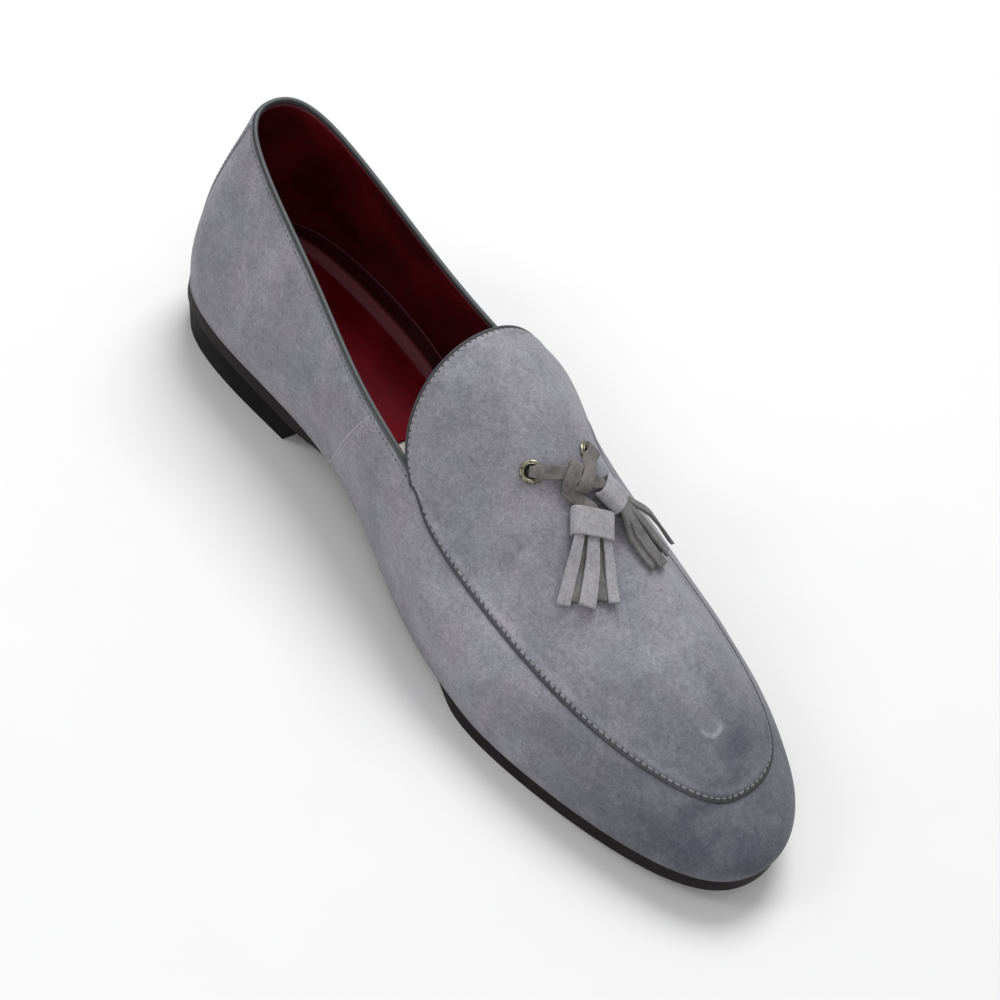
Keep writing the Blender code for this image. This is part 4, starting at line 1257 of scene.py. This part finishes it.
# %% Sole
u = np.unique(np.concatenate([np.linspace(0, 0.3, 14), np.linspace(0.3, 7.6, 150), np.linspace(7.6, 8, 24)]))
outset = 0.4 * MM
inner_along = place_along(FOOT.at(ROUND - u)[:, 1])
waist = smooth_step((inner_along - 0.27) / 0.10) * smooth_step((0.68 - inner_along) / 0.10)
top_edge = outset - 1.2 * MM * waist
outsole = slab(
    "sole",
    sheet_rows(u, outset, lambda a, s: underside(a) + SOLE_THICKNESS, 25, top_edge),
    sheet_rows(u, outset, lambda a, s: underside(a), 25, top_edge - 4.5 * MM * waist),
    SOLE, "sole_leather", 0.6 * MM,
)
print("sole", len(outsole.data.polygons), "faces")

# %% Insole board and sock
base_height = SOLE_THICKNESS + 2 * GAP + WALL
slab(
    "insole_board",
    sheet_rows(u, -3.2 * MM, lambda a, s: underside(a) + base_height + 1.9 * MM, 17),
    sheet_rows(u, -3.2 * MM, lambda a, s: underside(a) + base_height, 17),
    CANVAS, "lining", 0.3 * MM,
)
SOCK_FRONT = 0.366


def sock_height(along, share):
    heel = 1 - smooth_step((along - 0.24) / 0.16)
    edge_near = 1 - smooth_step(share / 0.36)
    dish = -0.5 * MM * smooth_step(share / 0.8) * heel
    return underside(along) + base_height + 3.0 * MM + dish + (1.0 + 4.2 * heel) * MM * edge_near**1.3


u = rear_part(SOCK_FRONT, 16, 60)
from_rim = np.tile(1 - np.abs(np.linspace(-1, 1, 45)), len(u))
sock = slab(
    "sock",
    sheet_rows(u, -2.5 * MM, sock_height, 45),
    sheet_rows(u, -2.5 * MM, lambda a, s: underside(a) + base_height + 1.95 * MM, 45),
    SOCK, "lining", 0.25 * MM, uv=np.tile(np.stack([from_rim, 0 * from_rim], axis=1), (2, 1)),
)
print("sock", len(sock.data.polygons), "faces")

# %% Heel block
HEEL_BREAST = 0.28
u = rear_part(HEEL_BREAST, 12, 50)
top = sheet_rows(u, 0.0, lambda a, s: underside(a) - 0.02 * MM, 15)
foot = sheet_rows(u, -3.0 * MM, lambda a, s: 0 * a, 15)
# The front slopes, so the foot of the block is shorter than its top
back, front = foot[0, 0, 1], foot[-1, 0, 1]
foot[..., 1] = back + (foot[..., 1] - back) * (back - front - 6 * MM) / (back - front)
heel = slab("heel_block", top, foot, HEEL, "heel", 0.5 * MM)
print("heel", len(heel.data.polygons), "faces")

# %% [markdown]
# ## Eyelets
# Each eyelet is a brass ring with a rolled flange, pressed through the apron. A flattened
# torus gives the flange, and a short tube inside it the barrel that the lace comes out of.
# The apron is not cut: a dark disc inside the ring is painted shade for the hole.


# %% Eyelets
def turned_to(facing, forward):
    """A turn whose Z faces along one direction, and whose Y goes as near as it can to another."""
    z = Vector(facing).normalized()
    y = (Vector(forward) - z * Vector(forward).dot(z)).normalized()
    return Matrix((y.cross(z), y, z)).transposed()


def keep_as(piece, name, look, place, turn):
    """Names a primitive and puts its place into its mesh."""
    piece.name = piece.data.name = name
    piece.location = (0, 0, 0)
    piece.data.transform(Matrix.Translation(Vector(place) + Vector(MOVED)) @ turn.to_4x4())
    piece.data.materials.clear()
    piece.data.materials.append(look)
    piece.data.shade_smooth()


EYELETS = {"inner": (-12.4 * MM, -24.0 * MM), "outer": (9.9 * MM, -25.4 * MM)}
RING_RADIUS, BARREL_RADIUS, HOLE_RADIUS = 3.2 * MM, 2.75 * MM, 2.65 * MM
torus, tube = bpy.ops.mesh.primitive_torus_add, bpy.ops.mesh.primitive_cylinder_add
eyelet_pieces = {}
for label, (x, y) in EYELETS.items():
    centre, facing = on_apron(x, y)
    turn = turned_to(facing, (0, -1, 0))
    flange = primitive(
        torus, major_radius=RING_RADIUS, minor_radius=0.68 * MM, major_segments=56, minor_segments=16
    )
    flange.data.transform(Matrix.Diagonal((1, 1, 0.75, 1)))
    barrel = primitive(tube, radius=BARREL_RADIUS, depth=1.1 * MM, vertices=56, end_fill_type="NOTHING")
    barrel.modifiers.new("tube", "SOLIDIFY").thickness = 0.3 * MM
    apply_all(barrel)
    # A dark disc inside the ring, on the uncut apron: painted shade standing in for the hole
    hole = primitive(tube, radius=HOLE_RADIUS, depth=0.3 * MM, vertices=40)
    for piece, part, look, high in (
        (flange, "flange", BRASS, 0.5), (barrel, "barrel", BRASS, 0.45), (hole, "hole", HOLE_SHADE, 0.02)
    ):
        keep_as(piece, f"eyelet_{label}_{part}", look, centre + facing * high * MM, turn)
    eyelet_pieces[label] = flange
    print(label, "eyelet at", np.round(centre / MM, 1))

# %% [markdown]
# ## The lace and its knot
# A flat suede thong comes out of each eyelet. The one from the inner side runs nearly
# straight to the tassel beyond. The other winds over it twice, comes out in front and holds
# the second tassel. The windings are a spiral about the straight thong, flat like the knot
# itself, so the two never meet.

# %% Routes of the two thongs
THONG_WIDTH, THONG_THICKNESS = 4.8 * MM, 1.4 * MM
knot_base, knot_facing = on_apron(0.0 * MM, -31.6 * MM)
KNOT_X, KNOT_Y, KNOT_Z = [np.array(column) for column in turned_to(knot_facing, (-0.52, -0.85, 0)).col]
KNOT_X = -KNOT_X
KNOT_HIGH = 2.85 * MM
LOOP_AHEAD, LOOP_UP = 4.1 * MM, 1.85 * MM  # half the size of a winding
LOOP_FIRST, LOOP_PITCH = 2.0 * MM, 5.1 * MM  # across, of the first on top, and on to the next
# A tassel's band and the ends of its strips, across and ahead; how far the band is rolled
# outwards; and half the band's width
TASSELS = {
    "inner": dict(band=(-3.1, -44.4), tail=(-16.4, -64.8), roll=0, half=7.1 * MM),
    "outer": dict(band=(8.6, -38.8), tail=(20.6, -59.6), roll=22, half=5.3 * MM),
}


def at_knot(across, ahead, height):
    """A point near the knot, in millimetres from the middle of its foot."""
    return knot_base + (KNOT_X * across + KNOT_Y * ahead + KNOT_Z * height) * MM


def on_winding(angle):
    """A point of the winding thong, which is on top at 0 and in front a quarter turn on."""
    out = unit(KNOT_Y * math.sin(angle) / LOOP_AHEAD + KNOT_Z * math.cos(angle) / LOOP_UP)
    across = LOOP_FIRST - LOOP_PITCH * angle / (2 * math.pi)
    centre = knot_base + KNOT_Z * KNOT_HIGH + KNOT_X * across
    return centre + KNOT_Y * math.sin(angle) * LOOP_AHEAD + KNOT_Z * math.cos(angle) * LOOP_UP, out


def band_place(label):
    """A band's middle, and which way is across, forward and up there."""
    spot = TASSELS[label]
    base, facing = on_apron(spot["band"][0] * MM, spot["band"][1] * MM)
    tip, _ = on_apron(spot["tail"][0] * MM, spot["tail"][1] * MM)
    across, forward, up = [np.array(column) for column in turned_to(facing, tip - base).col]
    across = -across
    roll = math.radians(spot["roll"])
    rolled_across = across * math.cos(roll) - up * math.sin(roll)
    return base + up * 3.2 * MM, rolled_across, forward, up * math.cos(roll) + across * math.sin(roll)


# How the thong leaves the hole: ahead, height, and how far its upper side looks back. The outer
# eyelet isn't seen in the photo. That its thong stands up in a small bend, and hides most of the
# ring from the camera, is a guess
LEAVES = {
    "inner": ((-0.6, 0.3, 1.0), (0.7, 1.0, 0.7), (2.6, 1.95, 0.0), (4.6, 2.2, 0.0)),
    "outer": ((-0.4, 0.2, 3.0), (-0.6, 1.7, 2.0), (0.6, 3.2, 0.5), (2.9, 3.2, 0.0), (4.9, 2.7, 0.0)),
}


print("knot over the apron at", np.round(knot_base / MM, 1))


# %% The two thongs
def out_of_eyelet(label, towards):
    """The thong's first points: out of the hole and over the ring."""
    base, facing = on_apron(*EYELETS[label])
    ahead = unit((towards - base) - facing * ((towards - base) @ facing))
    points = [base + ahead * a * MM + facing * h * MM for a, h, _ in LEAVES[label]]
    return points, [unit(facing - ahead * back) for _, _, back in LEAVES[label]]


def into_band(label):
    """The thong's last points, which end inside the band."""
    centre, across, forward, up = band_place(label)
    return [centre - forward * 4.3 * MM, centre + forward * 1.2 * MM], [up, up]


def straight_route():
    """From the inner eyelet through the windings to the outer tassel."""
    points, ups = out_of_eyelet("inner", at_knot(-3, 0, 0))
    through = ((-4.6, -0.2, 2.7), (-1.5, 0, 2.85), (1.5, 0, 2.85), (4.3, 0.1, 3.3))
    points += [at_knot(*place) for place in through]
    ups += [KNOT_Z] * 4
    more, more_ups = into_band("outer")
    return np.array(points + more), np.array(ups + more_ups)


def winding_route():
    """From the outer eyelet twice round the other thong to the inner tassel."""
    points, ups = out_of_eyelet("outer", at_knot(2.4, -6.5, 0))
    points.append(at_knot(2.2, -5.0, 3.1))
    ups.append(unit(KNOT_Z - KNOT_Y * 0.4))
    for angle in np.linspace(-0.3, 2.3, 16) * math.pi:
        point, out = on_winding(angle)
        points.append(point)
        ups.append(out)
    points += [at_knot(-2.5, 5.3, 2.2), at_knot(0.7, 6.8, 1.9)]
    ups += [unit(KNOT_Z + KNOT_Y * 0.5), KNOT_Z]
    more, more_ups = into_band("inner")
    return np.array(points + more), np.array(ups + more_ups)


def thong(name, points, ups):
    """A flat strap along a smoothed route, narrower where it leaves the eyelet."""
    fine = np.linspace(0, len(points) - 1, 14 * len(points))[1:]
    path, run, facing = resample(
        Spline(points, closed=False).at(fine), step=0.3 * MM, others=[read_at(fine, np.arange(len(ups)), ups)]
    )
    for _ in range(10):
        path[1:-1] = (path[:-2] + path[1:-1] * 2 + path[2:]) / 4
        facing[1:-1] = (facing[:-2] + facing[1:-1] * 2 + facing[2:]) / 4
    width = np.interp(run, [0, 2 * MM, 4 * MM, run[-1]], [0.78, 0.86, 1.0, 1.0])
    wander = 1 + 0.05 * np.sin(run / MM * 1.3 + len(name))
    scale = np.stack([width * wander, np.ones(len(run))], axis=1)
    profile = strap_profile(THONG_WIDTH, THONG_THICKNESS, 0.4)
    piece = sweep(name, path, unit(facing), profile, LACE_SUEDE, "lace", scale=scale)
    print(name, round(run[-1] / MM, 1), "mm long")
    return piece, path, run[-1]


lace_inner, lace_inner_path, lace_inner_length = thong("lace_inner", *straight_route())
lace_outer, lace_outer_path, lace_outer_length = thong("lace_outer", *winding_route())

# %% [markdown]
# ## Tassels
# A tassel is a strip of suede cut into a fringe, rolled up and held by a band. The band is a
# strap swept round a flat oval. Each strip of the fringe is a strap of its own: it leaves the
# band, sinks on to the apron, fans out and ends in a cut that is not quite straight.

# %% Strips of the tassels
# root offset, tip offset, length, width, height over the apron at the middle and at the tip
FRINGE = {
    "inner": [
        (-4.9, -8.6, 18.8, 4.3, 2.9, 1.5),
        (0.1, -1.0, 20.8, 5.3, 3.3, 2.2),
        (4.9, 8.3, 19.4, 3.7, 3.0, 1.9),
        (-2.7, -4.6, 19.0, 3.4, 1.3, 0.9),
        (2.8, 4.0, 18.6, 3.4, 1.3, 0.9),
    ],
    "outer": [
        (-3.2, -9.6, 18.2, 4.0, 2.0, 1.0),
        (-1.0, -6.4, 20.8, 4.6, 3.0, 1.6),
        (1.8, -0.4, 20.2, 3.8, 3.4, 2.6),
        (3.6, 5.4, 19.4, 3.6, 5.2, 4.6),
        (0.6, -1.4, 19.0, 4.0, 1.6, 1.0),
    ],
}
BAND_TALL, BAND_LONG = 2.15 * MM, 9.2 * MM
STRIP_THICKNESS = 1.15 * MM
LOWER = 2  # strips that lie lower than so many millimetres are the back layer
# The outer tassel's strips, and the back layer of both tassels, get the darker tassel suede as painted shade
STRIP_LOOK = {"inner": TASSEL_SUEDE, "outer": TASSEL_SHADE}


ROOT_INSIDE, TAIL_EXTRA = 3.5 * MM, 8.0  # how far a strip starts inside the band and runs on


def strip_line(label, number, root, tip, length, middle_high, tip_high):
    """Points of a strip, and the way it faces, from inside the band to its cut end."""
    centre, across, forward, up = band_place(label)
    points, facings = [], []
    for share in np.linspace(0, 1, 15):
        ahead = -ROOT_INSIDE + (length + TAIL_EXTRA) * MM * share
        past = max(0.0, (ahead - BAND_LONG / 2) / (length * MM + ROOT_INSIDE))
        offset = root + (tip - root) * past**0.85 if past > 0 else root
        wobble = 0.35 * math.sin(3.1 * past + number * 1.7) * past
        flat = centre + forward * ahead + across * (offset + wobble) * MM
        below, facing = on_apron(flat[0], flat[1])
        high = middle_high + (tip_high - middle_high) * smooth_step(past * 1.15)
        layer = -0.75 if middle_high < LOWER else 0.75
        inside_band = centre + forward * ahead + across * offset * MM + up * layer * MM
        settle = float(smooth_step(past / 0.35))
        points.append(inside_band * (1 - settle) + (below + facing * high * MM) * settle)
        curl = across * 0.22 * math.sin(number * 2.3 + 1.0) * past
        facings.append(unit(up * (1 - settle) + facing * settle + curl))
    return np.array(points), np.array(facings)


def cut_end(strip, end, ahead, across, number):
    """Pulls the points of a strip's end about, so that its cut isn't quite straight."""
    for vertex in strip.data.vertices:
        gap = np.array(vertex.co) - end
        if gap @ ahead > -0.3 * MM:
            sideways = gap @ across / MM
            pull = 0.3 * math.sin(sideways * 2.9 + number * 1.3) + 0.12 * sideways * math.sin(number * 2.1)
            vertex.co += Vector(ahead) * pull * MM


def fringe_strip(label, number, root, tip, length, width, middle_high, tip_high):
    points, facings = strip_line(label, number, root, tip, length, middle_high, tip_high)
    fine = np.linspace(0, len(points) - 1, 120)[1:]
    facings = read_at(fine, np.arange(len(points)), facings)
    route, run, ups = resample(Spline(points, closed=False).at(fine), step=0.6 * MM, others=[facings])
    widen = np.interp(run / run[-1], [0, 0.25, 0.6, 1], [0.74, 0.76, 0.95, 1.02])
    profile = strap_profile(width * MM, STRIP_THICKNESS, 0.3)
    # The back layer gets the darker tassel suede, as painted shade
    look = TASSEL_SHADE if middle_high < LOWER else STRIP_LOOK[label]
    scale = np.stack([widen, np.ones(len(run))], axis=1)
    strip = sweep(
        f"tassel_{label}_strip_{number + 1}", route, unit(ups), profile, look, "tassel", scale=scale
    )
    cut_end(strip, route[-1] + MOVED, unit(route[-1] - route[-3]), band_place(label)[1], number)
    return strip


print("longest strip", max(row[2] for row in FRINGE["inner"] + FRINGE["outer"]), "mm")


# %% Bands of the tassels
def build_band(label):
    centre, across, _, up = band_place(label)
    band_half = TASSELS[label]["half"]
    angles = around(48)
    x = np.sign(np.cos(angles)) * np.abs(np.cos(angles)) ** 0.5 * band_half
    z = np.sign(np.sin(angles)) * np.abs(np.sin(angles)) ** 0.62 * BAND_TALL
    ring = centre + across * x[:, None] + up * z[:, None]
    out = unit(across * (x / band_half**1.3)[:, None] + up * (z / BAND_TALL**1.3)[:, None])
    ring, _, out = resample(ring, step=0.5 * MM, closed=True, others=[out])
    ring, out, profile = soften(ring, 2), unit(soften(out, 3)), strap_profile(BAND_LONG, 1.1 * MM, 0.4)
    return sweep(f"tassel_{label}_band", ring, out, profile, TASSEL_SUEDE, "tassel", closed=True)


def build_tassel(label):
    band = build_band(label)
    return band, [fringe_strip(label, number, *row) for number, row in enumerate(FRINGE[label])]


tassel_bands, tassel_strips = {}, {}
for label in FRINGE:
    tassel_bands[label], tassel_strips[label] = build_tassel(label)
    print(label, "tassel", 1 + len(tassel_strips[label]), "pieces")

# %% Put the pieces on the shoe
STANDS_FOR = {
    wall_piece: ["upper"], collar: ["collar_binding"], piping: ["tongue_binding"], strap: ["back_strap"],
    outsole: ["outsole"], heel: ["heel"], sock: ["insole"],
    eyelet_pieces["inner"]: ["eyelet_inner"], eyelet_pieces["outer"]: ["eyelet_outer"],
    lace_inner: ["lace_bar_inner", "lace_end_outer"],
    lace_outer: ["lace_bar_outer", "lace_end_inner", "lace_knot"],
    tassel_bands["inner"]: ["tassel_inner"], tassel_bands["outer"]: ["tassel_outer"],
}
for piece, nodes in STANDS_FOR.items():
    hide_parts(*nodes)
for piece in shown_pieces():
    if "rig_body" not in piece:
        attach(piece, "root")
for piece, path, length, label, other in (
    (lace_inner, lace_inner_path, lace_inner_length, "inner", "outer"),
    (lace_outer, lace_outer_path, lace_outer_length, "outer", "inner"),
):
    [tuple(point) for point in path + MOVED]

# %% Measure the boxes and finish
low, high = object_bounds()
{"cad": [list(cad_low), list(cad_high)], "visual": [list(low), list(high)]}
